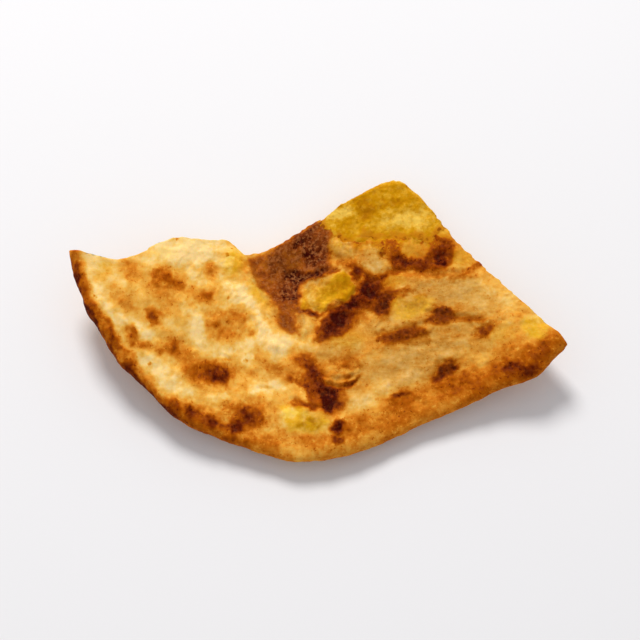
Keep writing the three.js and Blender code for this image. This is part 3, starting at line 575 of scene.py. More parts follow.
def top_marks(x, y, rim_d, rim_at):
    """Browning of the upper side from 0 (cream) past 0.2 (golden) to 1 (charred), and its stains."""
    p = flat(x, y, 0.0)
    wx, wy = warp(x, y, 11, 0.9)
    sx, sy = warp(x, y, 13, 1.6)
    # Share towards the left (west): there the base is paler and more clouded, towards the right browner.
    west = step(8, -22, x + 0.3 * y)
    cloud = 0.62 * np.tanh(2.8 * (0.50 * noise(p, 6.0, 23) + 0.50 * noise(p, 3.1, 24) + 0.34 * noise(p, 1.7, 26)))
    cloud = cloud + 0.36 * noise(p, 0.95, 27) + 0.20 * noise(p, 0.55, 25)
    grains = 0.42 * noise(p, 1.5, 21) + 0.50 * noise(p, 0.85, 22) + 0.40 * noise(p, 0.5, 32)
    jx, jy = 0.75 * noise(p, 1.7, 28), 0.75 * noise(p, 1.7, 29)
    spots = 0.97 * blobs(wx + jx, wy + jy, TOAST, 6.0, 0.72) * np.minimum(1.08, 0.97 + 0.26 * noise(p, 2.3, 30) + 0.16 * noise(p, 1.2, 38))
    amber = blobs(sx, sy, AMBER, 2.5, 0.9)
    qx, qy = warp(x, y, 47, 0.75)
    area = patches(qx, qy, TOASTED, 0.9)
    rim = rim_toast(x, y, rim_d, rim_at)
    vx, vy = warp(x, y, 31, 0.8)
    pale = stamp(vx, vy, PALE, 0.2, 1.5)
    # Paler fold crests: partly dry dough, partly a painted highlight where the fold catches the light.
    crest = ridge_lines(x, y, 3)
    patchy = 1 + 0.30 * noise(p, 2.4, 36) + 0.22 * noise(p, 1.1, 37)
    named = [r[0] for r in STAINED]
    yellow = clamp(stamp(vx, vy, [r for r in YELLOW if r[0] not in named], 0.35, 1.35) * patchy * 1.1)
    hx, hy = x + 0.8 * (wx - x), y + 0.8 * (wy - y)
    hole = patches(hx, hy, STAINED[:1], 0.45)
    soft = patches(vx, vy, STAINED[1:], 1.3) * clamp(1.05 + 0.4 * noise(p, 2.0, 38) + 0.3 * noise(p, 0.9, 39), 0, 1.1)
    oil = stamp(vx, vy, OIL, 0.2, 1.4) * clamp(0.9 + 0.5 * noise(p, 2.2, 40) + 0.4 * noise(p, 1.0, 42), 0, 1.2)
    tan = stamp(sx, sy, TAN, 0.5, 1.3)
    yellow = np.maximum(np.maximum(yellow, hole * (1 - 0.6 * clamp(tan) * (1 - clamp(oil)))), soft)
    ax, ay = warp(x, y, 17, 1.1)
    ambered = patches(ax, ay, AMBERED, 1.3) * (0.86 + 0.24 * noise(p, 2.3, 18) + 0.14 * noise(p, 1.1, 19))
    heat = (spots ** 5 + area ** 5 + (0.82 * amber) ** 5 + ambered ** 5 + rim ** 5) ** 0.2
    strong = step(0.25, 0.6, heat)
    base = 0.13 + 0.105 * (1 - west) - 0.17 * pale * (1 - 0.6 * strong) - 0.10 * crest
    toast = (np.maximum(base, 0) ** 2.2 + heat ** 2.2) ** (1 / 2.2) - 0.08 * pale * (1 - strong)
    burn = patches(qx, qy, TOASTED[:3], 1.5)
    toast = toast + cloud * (0.135 + 0.04 * west + 0.04 * strong) + grains * (0.045 + 0.045 * step(0.2, 0.5, heat) + 0.06 * burn)
    toast = toast - (0.75 * soft * step(0.95, 0.6, spots) + 0.35 * yellow * (1 - strong)) * np.maximum(0, toast - 0.16)
    toast = toast + hole * (0.30 - 0.20 * pale + 0.20 * cloud + 0.12 * grains - toast)
    near_fleck, _ = cells(p, 3.3, 33)
    toast = np.maximum(toast, 0.46 * step(0.19, 0.04, near_fleck + 0.16 * grains) * step(-0.05, 0.25, noise(p, 9, 34)))
    blister = patches(hx, hy, BLISTERED, 1.1)
    toast = toast + blister * (0.27 - 0.12 * pale + 0.14 * cloud + 0.10 * grains - toast)
    return {"toast": clamp(toast, 0.01, 1.05), "yellow": clamp(yellow), "oil": clamp(oil), "tan": clamp(tan), "blister": clamp(blister), "ash": clamp(burn * 1.5)}


# Creases and folds in the upper dough: each runs through its points, with a depth and a width.
CREASES = [
    ([(-17.0, 15.5), (-15.5, 9.5), (-12.5, 4.5), (-10.0, 0.5), (-6.0, -5.0)], 0.55, 1.0),
    ([(-3.5, 11.5), (-2.0, 4.0), (1.5, 2.2), (8.5, 5.5), (10.0, 11.0), (4.0, 13.0), (-3.0, 11.8)], 0.45, 0.7),
    ([(0.0, -14.0), (4.0, -16.6), (9.5, -15.6)], 0.4, 0.5),
    ([(0.5, -17.2), (5.5, -18.4), (11.0, -16.4)], 0.45, 0.5),
    ([(-8.0, -21.5), (-3.0, -23.6), (2.0, -24.5)], 0.35, 0.6),
    ([(26.0, 1.6), (33.0, -0.4), (43.0, -2.2)], 0.3, 0.6),
    ([(13.0, -4.6), (22.0, -3.0), (29.0, -2.2)], 0.35, 0.7),
    ([(38.0, -6.6), (43.5, -3.6), (48.0, -2.4)], 0.25, 0.6),
    ([(17.0, 12.5), (24.0, 12.3), (34.0, 11.2), (40.0, 11.8)], 0.4, 0.8),
    ([(-42.0, -7.0), (-35.0, -7.4), (-29.0, -9.5)], 0.2, 0.7),
    ([(-25.5, -10.2), (-22.0, -11.2)], 0.35, 0.35),
    ([(-16.0, -18.8), (-11.5, -19.2)], 0.25, 0.4),
]


# Raised folds and flaky edges: points, height, width, and how pale the crest is, partly dry dough on the fold and
# partly a painted highlight where it catches the light.
RIDGES = [
    ([(-25.5, 10.7), (-22.2, 7.8), (-18.6, 4.5), (-16.0, 0.2), (-14.3, -3.9), (-11.0, -7.4), (-6.6, -9.1)], 0.8, 1.5, 0.9),
    ([(-22.9, 19.9), (-19.8, 16.3), (-16.9, 10.2), (-12.8, 4.8), (-9.9, 0.8)], 0.5, 1.2, 0.2),
    ([(-52.6, 12.6), (-44.9, 14.5), (-37.0, 17.2), (-28.8, 18.2), (-22.7, 18.6)], 0.35, 2.0, 0.5),
    ([(-57.6, 9.0), (-54.5, 1.7), (-50.5, -2.3), (-45.3, -5.6), (-40.4, -8.2)], 0.45, 1.1, 0.8),
    ([(-41.5, -14.5), (-34.1, -19.1), (-25.3, -21.6), (-16.5, -18.6), (-9.0, -17.6)], 0.35, 1.8, 0.3),
    ([(-4.2, 5.1), (-3.0, 9.9), (1.2, 12.0), (6.1, 12.6), (9.4, 10.6), (8.9, 6.8), (4.8, 4.4), (0.0, 2.7), (-4.1, 4.6)], 0.4, 0.8, 0.0),
    ([(3.2, 18.5), (5.3, 20.6), (8.6, 19.8), (9.0, 17.2)], 0.35, 0.8, 0.3),
    ([(10.6, 15.4), (12.3, 18.4), (16.1, 18.5), (18.5, 15.9), (16.8, 12.7)], 0.4, 0.8, 0.3),
    ([(1.2, -14.6), (4.4, -12.9), (8.0, -13.0)], 0.35, 0.45, 0.7),
    ([(1.4, -17.1), (4.7, -15.9), (8.4, -14.6), (10.0, -12.9)], 0.4, 0.45, 0.6),
    ([(10.9, -7.9), (19.1, -6.7), (28.4, -3.6), (38.5, -3.0), (48.4, -3.2)], 0.3, 0.9, 0.35),
    ([(10.8, -12.2), (20.2, -11.4), (29.5, -8.4), (38.3, -7.6), (46.4, -5.0)], 0.3, 1.0, 0.3),
    ([(8.0, -22.4), (16.0, -19.1), (24.1, -15.7), (30.3, -11.8), (38.3, -10.5)], 0.45, 1.3, 0.5),
    ([(18.5, 11.5), (24.6, 11.8), (30.7, 12.1), (36.8, 10.3), (42.0, 8.1)], 0.35, 1.0, 0.45),
]


def ridge_lines(x, y, values):
    """Sum of smooth ridges; values says which number of each ridge is its height."""
    wx, wy = warp(x, y, 43, 1.1)
    q = np.stack([wx, wy], 1)
    out = np.zeros_like(x)
    for row in RIDGES:
        k = np.array(row[0])
        width, height = row[2], row[values]
        m = (q > k.min(0) - 3 * width).all(1) & (q < k.max(0) + 3 * width).all(1)
        if height <= 0 or not m.any():
            continue
        d, at = near(q[m], Curve(row[0]), 160)
        fade = step(0, 0.15, at) * step(1, 0.85, at)
        here = flat(x[m], y[m])
        uneven = clamp(0.62 + 0.55 * noise(here, 3.4, 44) + 0.3 * noise(here, 1.5, 45), 0, 1.2)
        out[m] = np.maximum(out[m], height * fade * uneven * np.exp(-(d / width) ** 2))
    return out


def creases(x, y):
    p = np.stack([x, y], 1)
    out = np.zeros_like(x)
    wx, wy = warp(x, y, 41, 0.5)
    q = np.stack([wx, wy], 1)
    for knots, depth, width in CREASES:
        k = np.array(knots)
        lo, hi = k.min(0) - 4, k.max(0) + 4
        m = (p > lo).all(1) & (p < hi).all(1)
        if not m.any():
            continue
        d, at = near(q[m], Curve(knots), 120)
        fade = step(0, 0.12, at) * step(1, 0.88, at)
        out[m] -= depth * fade * np.exp(-(d / width) ** 2)
        out[m] += 0.45 * depth * fade * np.exp(-((d - 2.2 * width) / (1.3 * width)) ** 2)
    return out


# Lighter (positive) and darker (negative) patches on the bare potato at the tip: painted light on its lit lumps and
# painted shade in the hollow, fold and brow. Name, centre x and y, half lengths, turn in degrees, strength.
TIP_TONES = [
    ("streak", 5.4, 28.4, 5.2, 1.4, 12, 1.5), ("east", 24.0, 26.4, 7.0, 2.8, -2, 0.85), ("west", 15.6, 25.6, 4.2, 1.2, 6, 0.5),
    ("hollow", 12.4, 28.6, 4.4, 2.2, -50, -0.85), ("fold", 19.0, 30.4, 5.6, 1.3, 16, -0.5), ("crown", 21.0, 33.4, 5.0, 1.6, 4, 0.15),
    ("brow", 12.6, 32.2, 4.6, 1.4, 26, -0.25),
]


def torn_stain(s, t, over=1.6):
    """1 at the torn edge of the upper dough, fading behind it: stained by the potato and thinned."""
    q = (s - tear_line(t)) * reach(t)
    return np.exp(-(np.maximum(q, 0) / over) ** 2)


def waves(x, y, z):
    """The broad rise and fall that the dough and the bare potato share."""
    p = flat(x, y, 0.5 * z)
    return 0.34 * noise(p, 11, 51) + 0.26 * noise(p, 5.5, 52)


def relief(x, y, z, m):
    """Height of the upper side above the CAD surface, and how far it stands above its surroundings, which the dough's
    colour turns into painted light on raised parts and painted shade in hollows.
    """
    p = flat(x, y, 0.5 * z)
    broad = waves(x, y, z)
    pebble = 0.19 * noise(p, 2.6, 53) + 0.12 * noise(p, 1.3, 54) + 0.06 * noise(p, 0.7, 69)
    c1, _ = cells(p, 3.4, 55)
    bubbles = 0.24 * step(0.6, 0.15, c1) * step(-0.1, 0.5, noise(p, 7, 56))
    east = step(6, 22, x) * step(16, 8, y)
    a = math.radians(13)
    along, across = x * math.cos(a) + y * math.sin(a), -x * math.sin(a) + y * math.cos(a)
    wrinkle = 0.10 * (1 - 2 * np.abs(noise(flat(along / 2.2, across, 0.0), 2.4, 57))) * east
    flakes = 0.22 * step(0.05, 0.35, noise(p, 4.2, 67)) * step(0.2, 0.5, noise(p, 13, 68) + 0.3)
    raised = 0.18 * step(0.3, 0.8, m["toast"]) + 0.14 * noise(p, 0.9, 58) * step(0.35, 0.8, m["toast"])
    dome = 0.75 * clamp(m["blister"]) ** 0.7
    wx, wy = warp(x, y, 11, 0.45)
    lump = patches(wx, wy, STAINED[:1], 0.7) + 0.6 * patches(wx, wy, STAINED[1:4], 1.6)
    g1, _ = cells(p, 1.5, 59)
    crumb = lump * (0.48 + 0.25 * noise(p, 2.2, 60) + 0.20 * (0.5 - g1) + 0.1 * noise(p, 0.7, 66))
    valley = -0.25 * step(0.7, 1.0, m["toast"]) * step(0.5, 0.0, m["yellow"])
    ridges = 0.0
    for _, cx, cy, rx, ry, turn, strength in PALE:
        u, v = turned(x, y, cx, cy, rx * 0.9, ry * 0.9, turn)
        ridges = ridges + 0.3 * strength * np.exp(-(u * u + v * v))
    cr = creases(x, y) + ridge_lines(x, y, 1)
    rise = (pebble + bubbles + wrinkle + flakes + 0.8 * cr + 0.5 * crumb + 0.3 * ridges) / 0.35
    return broad + pebble + bubbles + wrinkle + flakes + raised + dome + crumb + valley + ridges + cr, clamp(rise, -1, 1)


def under_marks(x, y):
    """The griddled underside: browned in patches wherever it lay on the pan."""
    p = flat(x, y, 5.0)
    big = fbm(p, 13, 71, 4, 0.55)
    spots, _ = cells(p, 8.5, 72)
    toast = clamp(0.30 + 0.55 * big + 0.35 * step(0.5, 0.12, spots + 0.18 * noise(p, 2.0, 73)), 0.02, 0.95)
    return toast * (1 + 0.15 * noise(p, 1.0, 74))


# ---- building closed meshes ----------------------------------------------------------------
class Body:
    """Vertices with a few numbers each, and faces between rows of them."""

    KEYS = ("s", "t", "c", "w", "kind")

    def __init__(self):
        self.chunks, self.data, self.faces, self.n = [], [], [], 0

    def add(self, pos, **data):
        shape = pos.shape[:-1]
        n = int(np.prod(shape))
        self.chunks.append(pos.reshape(n, 3))
        self.data.append(np.stack([np.broadcast_to(np.asarray(data.get(k, 0.0), float), shape).ravel() for k in self.KEYS], 1))
        idx = np.arange(self.n, self.n + n).reshape(shape)
        self.n += n
        return idx

    def grid(self, idx):
        a, b, c, d = idx[:-1, :-1], idx[1:, :-1], idx[1:, 1:], idx[:-1, 1:]
        q = np.stack([a, b, c, d], -1).reshape(-1, 4)
        self.faces.append(np.concatenate([q[:, [0, 1, 2]], q[:, [0, 2, 3]]]))

    def sew(self, a, b, pa=None, pb=None):
        """Triangles between two rows of vertices that may differ in number."""
        a, b = np.asarray(a), np.asarray(b)
        pa = np.linspace(0, 1, len(a)) if pa is None else np.asarray(pa)
        pb = np.linspace(0, 1, len(b)) if pb is None else np.asarray(pb)
        i = j = 0
        out = []
        while i < len(a) - 1 or j < len(b) - 1:
            if j >= len(b) - 1 or (i < len(a) - 1 and pa[i + 1] + pa[i] <= pb[j + 1] + pb[j]):
                out.append((a[i], b[j], a[i + 1]))
                i += 1
            else:
                out.append((a[i], b[j], b[j + 1]))
                j += 1
        f = np.array(out)
        f = f[(f[:, 0] != f[:, 1]) & (f[:, 1] != f[:, 2]) & (f[:, 0] != f[:, 2])]
        self.faces.append(f)

    def done(self):
        return np.concatenate(self.chunks), np.concatenate(self.data), np.concatenate(self.faces)


def mesh_object(name, pos_mm, faces, attributes, material):
    me = bpy.data.meshes.new(name)
    me.vertices.add(len(pos_mm))
    me.vertices.foreach_set("co", (pos_mm * MM).astype(np.float32).ravel())
    me.loops.add(len(faces) * 3)
    me.loops.foreach_set("vertex_index", faces.astype(np.int32).ravel())
    me.polygons.add(len(faces))
    me.polygons.foreach_set("loop_start", np.arange(0, len(faces) * 3, 3, dtype=np.int32))
    me.update(calc_edges=True)
    me.validate()
    bm = bmesh.new()
    bm.from_mesh(me)
    bmesh.ops.recalc_face_normals(bm, faces=bm.faces)
    bm.to_mesh(me)
    open_edges = sum(1 for e in bm.edges if len(e.link_faces) != 2)
    print(name, "triangles", len(bm.faces), "open or shared edges", open_edges, "volume cm3", round(bm.calc_volume() * 1e6, 2))
    bm.free()
    for key, values in attributes.items():
        at = me.attributes.new(key, "FLOAT", "POINT")
        at.data.foreach_set("value", np.asarray(values, np.float32))
    me.polygons.foreach_set("use_smooth", np.ones(len(me.polygons), bool))
    me.materials.append(material)
    o = bpy.data.objects.new(name, me)
    bpy.context.scene.collection.objects.link(o)
    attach(o, "root")
    return o


# ---- the dough -----------------------------------------------------------------------------
W_ROWS = (0.25, 0.5, 0.75)  # rows between the inside and the outside of the skin, where it is cut
C_NOSE, C_UNDER = 0.46, 0.6


LEFT_CORNER = plan(np.ones(1), np.zeros(1))[0]


def corner_pull(p):
    """The left corner is drawn out a little."""
    away = np.linalg.norm(p - LEFT_CORNER, axis=-1)
    return np.array([-1.8, 0.3]) * np.exp(-(away / 8.0) ** 2)[..., None]


def corner_lift(p):
    """It is turned up, unevenly."""
    away = np.linalg.norm(p - LEFT_CORNER, axis=-1)
    beside = np.linalg.norm(p - LEFT_CORNER - (2.8, -0.2), axis=-1)
    return 1.1 * np.exp(-(away / 5.0) ** 2) + 0.35 * np.exp(-(away / 1.5) ** 2) + 0.5 * np.exp(-(beside / 1.3) ** 2)


# How far the left cut's edge stands out past its smooth line: share of the way from the tip, millimetres.
CUT_OUT = [(0, 0), (0.1, 0), (0.15, 0.2), (0.2, 0.1), (0.24, 0.3), (0.27, 0.15), (0.31, 0.3), (0.35, 0.4),
           (0.38, 0.5), (0.4, 0.85), (0.425, 1.0), (0.445, 0.75), (0.47, 0.25), (0.5, -0.1), (0.53, -0.25),
           (0.56, 0), (0.585, 0.1), (0.62, 0.75), (0.655, 1.05), (0.685, 0.8), (0.71, 0.2), (0.76, 0),
           (0.8, -0.1), (0.84, 0), (0.86, 0.15), (0.88, 0.5), (0.905, 0.85), (0.93, 0.8), (0.95, 0.55),
           (0.965, 0.8), (1, 0.8)]


def between_knots(knots, v):
    k = np.array(knots, float)
    i = np.clip(np.searchsorted(k[:, 0], v, side="right") - 1, 0, len(k) - 2)
    return k[i, 1] + (k[i + 1, 1] - k[i, 1]) * ease((v - k[i, 0]) / (k[i + 1, 0] - k[i, 0]))


def ground(s, t):
    """Plan position, thickness and height of the underside at (s, t); the cut sides are ragged."""
    s, t = np.broadcast_arrays(np.asarray(s, float), np.asarray(t, float))
    shape = s.shape
    s, t = s.ravel(), t.ravel()
    p = plan(s, t)
    across = right_cut.at(s) - left_cut.at(s)
    width = np.linalg.norm(across, axis=-1)
    across = across / width[:, None]
    q = flat(p[:, 0], p[:, 1], 2.0)
    rag = 0.5 * noise(q, 6.5, 84) + 0.55 * noise(q, 2.8, 81) + 0.36 * noise(q, 1.4, 82) + 0.16 * noise(q, 0.7, 83) - 0.1
    p = p + across * (rag * (np.exp(-(1 - t) * width / 1.8) - np.exp(-t * width / 1.8)))[:, None]
    along = left_cut.at(s + 0.012) - left_cut.at(s - 0.012)
    out = np.stack([along[:, 1], -along[:, 0]], 1) / np.linalg.norm(along, axis=1)[:, None]
    amount = between_knots(CUT_OUT, s) + 0.26 * noise(q, 2.3, 85) + 0.14 * noise(q, 1.0, 86)
    p = p + out * (amount * np.exp(-t * width / 2.6))[:, None]
    h = thickness(s, t, p[:, 0], p[:, 1])
    u = underside(p[:, 0], p[:, 1])
    u = u + corner_lift(p)
    p = p + corner_pull(p)
    return [v.reshape(shape) for v in (p[:, 0], p[:, 1], h, u)]


def rim_share(x, y):
    return near(np.stack([x, y], 1), rim_edge, 400)


def outer_top(s, t):
    x, y, h, u = ground(s, t)
    shape = x.shape
    x, y, z = x.ravel(), y.ravel(), (u + h).ravel()
    d, at = rim_share(x, y)
    m = top_marks(x, y, d, at)
    up, m["rise"] = relief(x, y, z, m)
    fs, ft = np.broadcast_to(s, shape).ravel(), np.broadcast_to(t, shape).ravel()
    q = flat(x, y)
    soaked = torn_stain(fs, ft, 3.0) * clamp(0.75 + 0.8 * noise(q, 2.6, 35) + 0.6 * noise(q, 1.2, 48))
    m["yellow"] = np.maximum(m["yellow"], soaked)
    m["oil"] = np.maximum(m["oil"], 0.8 * soaked * step(-0.2, 0.3, noise(q, 1.8, 49)))
    m["toast"] = m["toast"] - 0.4 * soaked * np.maximum(0, m["toast"] - 0.3)
    z = z + up - 0.34 * torn_stain(fs, ft)
    return np.stack([x, y, z], 1).reshape(shape + (3,)), m


def seam(t):
    """Ends of the outer and the inner straight stretches, as shares of the way to the rim."""
    r = reach(t)
    return 1 - NOSE / r, 1 - SEAL / r


# How far the rounded rim stands out past its smooth line: share of the way along it, millimetres.
RIM_OUT = [(0, 0), (0.03, 0.15), (0.075, -0.3), (0.1, 0.1), (0.12, -0.4), (0.145, -0.2), (0.165, 0.25), (0.2, 0.6),
           (0.225, 0.2), (0.25, -0.25), (0.285, -0.2), (0.31, 0.2), (0.33, 0), (0.35, 0.3), (0.375, -0.1),
           (0.408, 0.25), (0.44, 0), (0.465, 0.6), (0.5, 1.1), (0.525, 1.55), (0.555, 1.25), (0.575, 1.4),
           (0.617, 1.75), (0.65, 2.05), (0.7, 1.85), (0.725, 1.3), (0.742, 1.15), (0.775, 1.35), (0.82, 1.7),
           (0.86, 1.35), (0.885, 1.45), (0.91, 1.75), (0.933, 2.0), (0.955, 1.3), (0.975, 1.1), (0.992, 1.35), (1, 1.2)]


def rim_out(t):
    return between_knots(RIM_OUT, t)


def rim_tip(t):
    """Plan positions of the rim's smooth line."""
    p = plan(np.ones_like(t), t)
    return p + corner_pull(p) + np.array([0.0, 0.55]) * np.exp(-(t / 0.02) ** 2)[..., None]


def outer_nose(phi, t):
    """The rounded rim, from its top (phi 90 degrees) to its foot (-90)."""
    end, _ = seam(t)
    x, y, h, u = ground(end, t)
    tip = rim_tip(t)
    dx, dy = tip[..., 0] - x, tip[..., 1] - y
    run = np.hypot(dx, dy)
    phi = phi[:, None] + 0 * t[None, :]
    c, s_ = np.cos(phi), np.sin(phi)
    d, at = rim_share((x[None] + dx[None] * c).ravel(), (y[None] + dy[None] * c).ravel())
    grow = (run + rim_out(t)) / run
    dx, dy, run = dx * grow, dy * grow, run * grow
    X, Y = x[None] + dx[None] * c, y[None] + dy[None] * c
    Z = u[None] + h[None] / 2 * (1 + s_)
    shape = X.shape
    fx, fy, fz = X.ravel(), Y.ravel(), Z.ravel()
    d = np.where(phi.ravel() < 0, -1.6 * np.sin(-phi.ravel()), d)
    # The marks run on over the edge, measured along the surface.
    ring = np.stack([run[None] * c, h[None] / 2 * s_], -1)
    first = np.stack([0 * run, h / 2], -1)[None]
    length = np.cumsum(np.linalg.norm(np.diff(np.concatenate([first, ring]), axis=0), axis=-1), 0)
    ux, uy = x[None] + (dx / run)[None] * length, y[None] + (dy / run)[None] * length
    m = top_marks(ux.ravel(), uy.ravel(), d, at)
    up, m["rise"] = relief(fx, fy, fz, m)
    q = np.stack([fx, fy, fz], 1)
    up = up + (0.2 * noise(q, 2.4, 91) + 0.1 * noise(q, 1.0, 92)) * c.ravel()
    down = under_relief(fx, fy)
    k = (1 + s_.ravel()) / 2
    r = up * k - down * (1 - k)
    nx, ny = (dx / run)[None] + 0 * c, (dy / run)[None] + 0 * c
    out = np.stack([fx + r * c.ravel() * nx.ravel(), fy + r * c.ravel() * ny.ravel(), fz + r * s_.ravel()], 1)
    low = step(0.1, 1.0, -s_.ravel())
    back = length[-1:] - length
    bx, by = x[None] + (dx / run)[None] * back, y[None] + (dy / run)[None] * back
    m["toast"] = m["toast"] * (1 - low) + (0.35 * m["toast"] + 0.65 * under_marks(bx.ravel(), by.ravel())) * low
    for key in ("yellow", "oil", "tan", "ash", "rise"):
        m[key] = m[key] * (1 - low)
    return out.reshape(shape + (3,)), m


def under_relief(x, y):
    """How far the underside is drawn up from the CAD surface; never below it."""
    p = flat(x, y, 5.0)
    return 0.16 + 0.10 * noise(p, 6, 93) + 0.07 * noise(p, 2.2, 94) + 0.03 * noise(p, 1.0, 95)


def outer_bottom(s, t):
    x, y, h, u = ground(s, t)
    shape = x.shape
    fx, fy = x.ravel(), y.ravel()
    z = u.ravel() + np.maximum(0.0, under_relief(fx, fy))
    toast = under_marks(fx, fy)
    zero = np.zeros_like(toast)
    return np.stack([fx, fy, z], 1).reshape(shape + (3,)), {"toast": toast, "yellow": zero, "oil": zero, "tan": zero, "ash": zero, "rise": zero}


def inner_levels(s, t, x, y, h, u):
    """Heights of the skin's inside above and below the potato."""
    width = np.linalg.norm(right_cut.at(s) - left_cut.at(s), axis=-1)
    side = np.minimum(t, 1 - t) * width
    deep = ease(side / 4) * ease((s - tear_line(t)) * reach(t) / 4 + 0.2)
    return u + h - TOP_DOUGH - 0.55 * deep, u + BOTTOM_DOUGH


def inner_skin(c, t):
    """The skin's inside, c from the torn edge (0) round the seal to the tip (1)."""
    c, t = np.broadcast_arrays(c, t)
    shape = c.shape
    c, t = c.ravel(), t.ravel()
    _, end = seam(t)
    tear = tear_line(t)
    s = np.where(c <= C_NOSE, tear + (end - tear) * c / C_NOSE, np.where(c < C_UNDER, end, end * (1 - (c - C_UNDER) / (1 - C_UNDER))))
    turn = math.pi * (0.5 - clamp((c - C_NOSE) / (C_UNDER - C_NOSE)))
    s = s + 1.2 / reach(t) * np.where((c > C_NOSE) & (c < C_UNDER), np.cos(turn), 0.0)
    x, y, h, u = ground(s, t)
    top, low = inner_levels(s, t, x, y, h, u)
    k = np.where(c <= C_NOSE, 1.0, np.where(c >= C_UNDER, 0.0, (1 + np.sin(turn)) / 2))
    return np.stack([x, y, low + (top - low) * k], 1).reshape(shape + (3,))


def sideways(s, sign):
    """Outward direction of a cut side."""
    out = right_cut.at(s) - left_cut.at(s)
    return sign * np.concatenate([out / np.linalg.norm(out, axis=1)[:, None], np.zeros((len(s), 1))], 1)


def side_grain(q):
    return 0.22 * noise(q, 2.4, 111) + 0.20 * noise(q * (1, 1, 3.0), 1.4, 112) + 0.10 * noise(q, 0.6, 113)


def build_dough():
    N1, N2, N3, N4 = 224, 448, 84, 150  # columns: behind the tear, towards the rim, inside, underneath
    R1, R2, RN, R4, R3 = 56, 112, 13, 74, 22
    body = Body()
    fields = {"toast": [], "yellow": [], "oil": [], "tan": [], "ash": [], "rise": []}

    def put(pos, marks=None, **data):
        idx = body.add(pos, **data)
        for key, rows in fields.items():
            rows.append(np.zeros(idx.size) if marks is None else marks[key])
        return idx

    def c_top(s, t):
        return C_NOSE * (s - tear_line(t)) / (seam(t)[0] - tear_line(t))

    t1, t2, t3, t4 = (np.linspace(0, 1, n + 1) for n in (N1, N2, N3, N4))
    K = 0.30  # share of the way from the tear to the nose where the columns double

    def rows(t, lo, hi, n):
        tear, end = tear_line(t), seam(t)[0]
        k = np.linspace(lo, hi, n + 1)[:, None]
        return tear[None] + (end - tear)[None] * k

    s1 = rows(t1, 0, K, R1)
    s2 = rows(t2, K + (1 - K) / R2, 1, R2 - 1)
    pos, m = outer_top(s1, np.broadcast_to(t1, s1.shape))
    top1 = put(pos, m, kind=0)
    pos, m = outer_top(s2, np.broadcast_to(t2, s2.shape))
    top2 = put(pos, m, kind=0)
    phi = np.linspace(math.pi / 2, -math.pi / 2, RN + 1)[1:]
    pos, m = outer_nose(phi, t2)
    nose = put(pos, m, kind=0)
    k4 = np.linspace(1, 0, R4 + 1)[1:, None]
    s4 = seam(t4)[0][None] * k4
    pos, m = outer_bottom(s4, np.broadcast_to(t4, s4.shape))
    low = put(pos, m, kind=1)
    body.grid(top1)
    body.sew(top1[-1], top2[0], t1, t2)
    body.grid(np.concatenate([top2, nose]))
    body.sew(nose[-1], low[0], t2, t4)
    body.grid(low)

    c3 = np.concatenate([np.linspace(0, C_NOSE, R3 + 1)[:-1], np.linspace(C_NOSE, C_UNDER, 7)[:-1], np.linspace(C_UNDER, 1, R3 + 1)])
    pos3 = inner_skin(c3[:, None], t3[None])
    for col, sign in ((0, -1), (-1, 1)):
        s3 = np.interp(c3, [0, C_NOSE, C_UNDER, 1], [tear_line(t3[[col]])[0], 1, 1, 0])
        pos3[:, col] += sideways(s3, sign) * (0.02 + 0.8 * side_grain(pos3[:, col]))[:, None]
    inside = put(pos3, kind=2)
    body.grid(inside)

    # The torn edge of the upper layer, and the edge of the lower one at the tip.
    allpos = np.concatenate(body.chunks)
    w = np.array(W_ROWS)[:, None, None]

    def between(inner_chain, inner_t, outer_chain, outer_t, out_dir, seed, bulge):
        a = np.stack([np.interp(outer_t, inner_t, allpos[inner_chain][:, i]) for i in range(3)], 1)
        b = allpos[outer_chain]
        p = a[None] + (b - a)[None] * w
        n = p.reshape(-1, 3)
        r = (0.16 * noise(n, 1.3, seed) + 0.12 * noise(n * (1, 1, 3.0), 1.1, seed + 1) + 0.06 * noise(n, 0.5, seed + 2)).reshape(p.shape[:2])
        lift = (bulge * np.sin(math.pi * w[..., 0]) + r)[..., None]
        return p + out_dir * lift

    tip_dir = np.array([0.10, 0.99, 0.0])
    torn = put(between(inside[0], t3, top1[0], t1, tip_dir, 101, 0.12), kind=3)
    body.sew(inside[0], torn[0], t3, t1)
    body.grid(torn)
    body.grid(np.stack([torn[-1], top1[0]]))
    foot = put(between(inside[-1], t3, low[-1], t4, tip_dir, 104, 0.15), kind=3)
    body.sew(inside[-1], foot[0], t3, t4)
    body.grid(foot)
    body.grid(np.stack([foot[-1], low[-1]]))

    # The two cut sides.
    allpos = np.concatenate(body.chunks)
    for col, sign in ((0, -1), (-1, 1)):
        t = float(col == -1)
        tt = np.array([t])
        c_nose = C_NOSE + (C_UNDER - C_NOSE) * (0.5 - phi / math.pi)
        chain = np.concatenate([top1[:, col], top2[:, col], nose[:, col], low[:, col]])
        c_out = np.concatenate([c_top(s1[:, col], tt), c_top(s2[:, col], tt), c_nose, C_UNDER + (1 - C_UNDER) * (1 - k4[:, 0])])
        inner_chain = inside[:, col]
        nc = 300
        c = np.linspace(0, 1, nc + 1)[1:-1]
        a = np.stack([np.interp(c, c3, allpos[inner_chain][:, i]) for i in range(3)], 1)
        b = np.stack([np.interp(c, c_out, allpos[chain][:, i]) for i in range(3)], 1)
        p = a[None] + (b - a)[None] * w
        s_mid = np.interp(c, c_out, np.concatenate([s1[:, col], s2[:, col], np.ones(len(phi)), s4[:, col]]))
        r = side_grain(p.reshape(-1, 3))
        p = p + sideways(s_mid, sign)[None] * (0.04 + r.reshape(p.shape[:2]))[..., None]
        side = put(p, kind=3)
        full = np.concatenate([torn[:, col][:, None], side, foot[:, col][:, None]], 1)
        cc = np.concatenate([[0], c, [1]])
        body.sew(inner_chain, full[0], c3, cc)
        body.grid(full)
        body.sew(full[-1], chain, cc, c_out)
    pos, data, faces = body.done()
    marks = {key: np.concatenate(rows) for key, rows in fields.items()}
    kind = data[:, list(Body.KEYS).index("kind")]
    cut = (kind == 3).astype(float)
    return pos, faces, marks, cut, kind


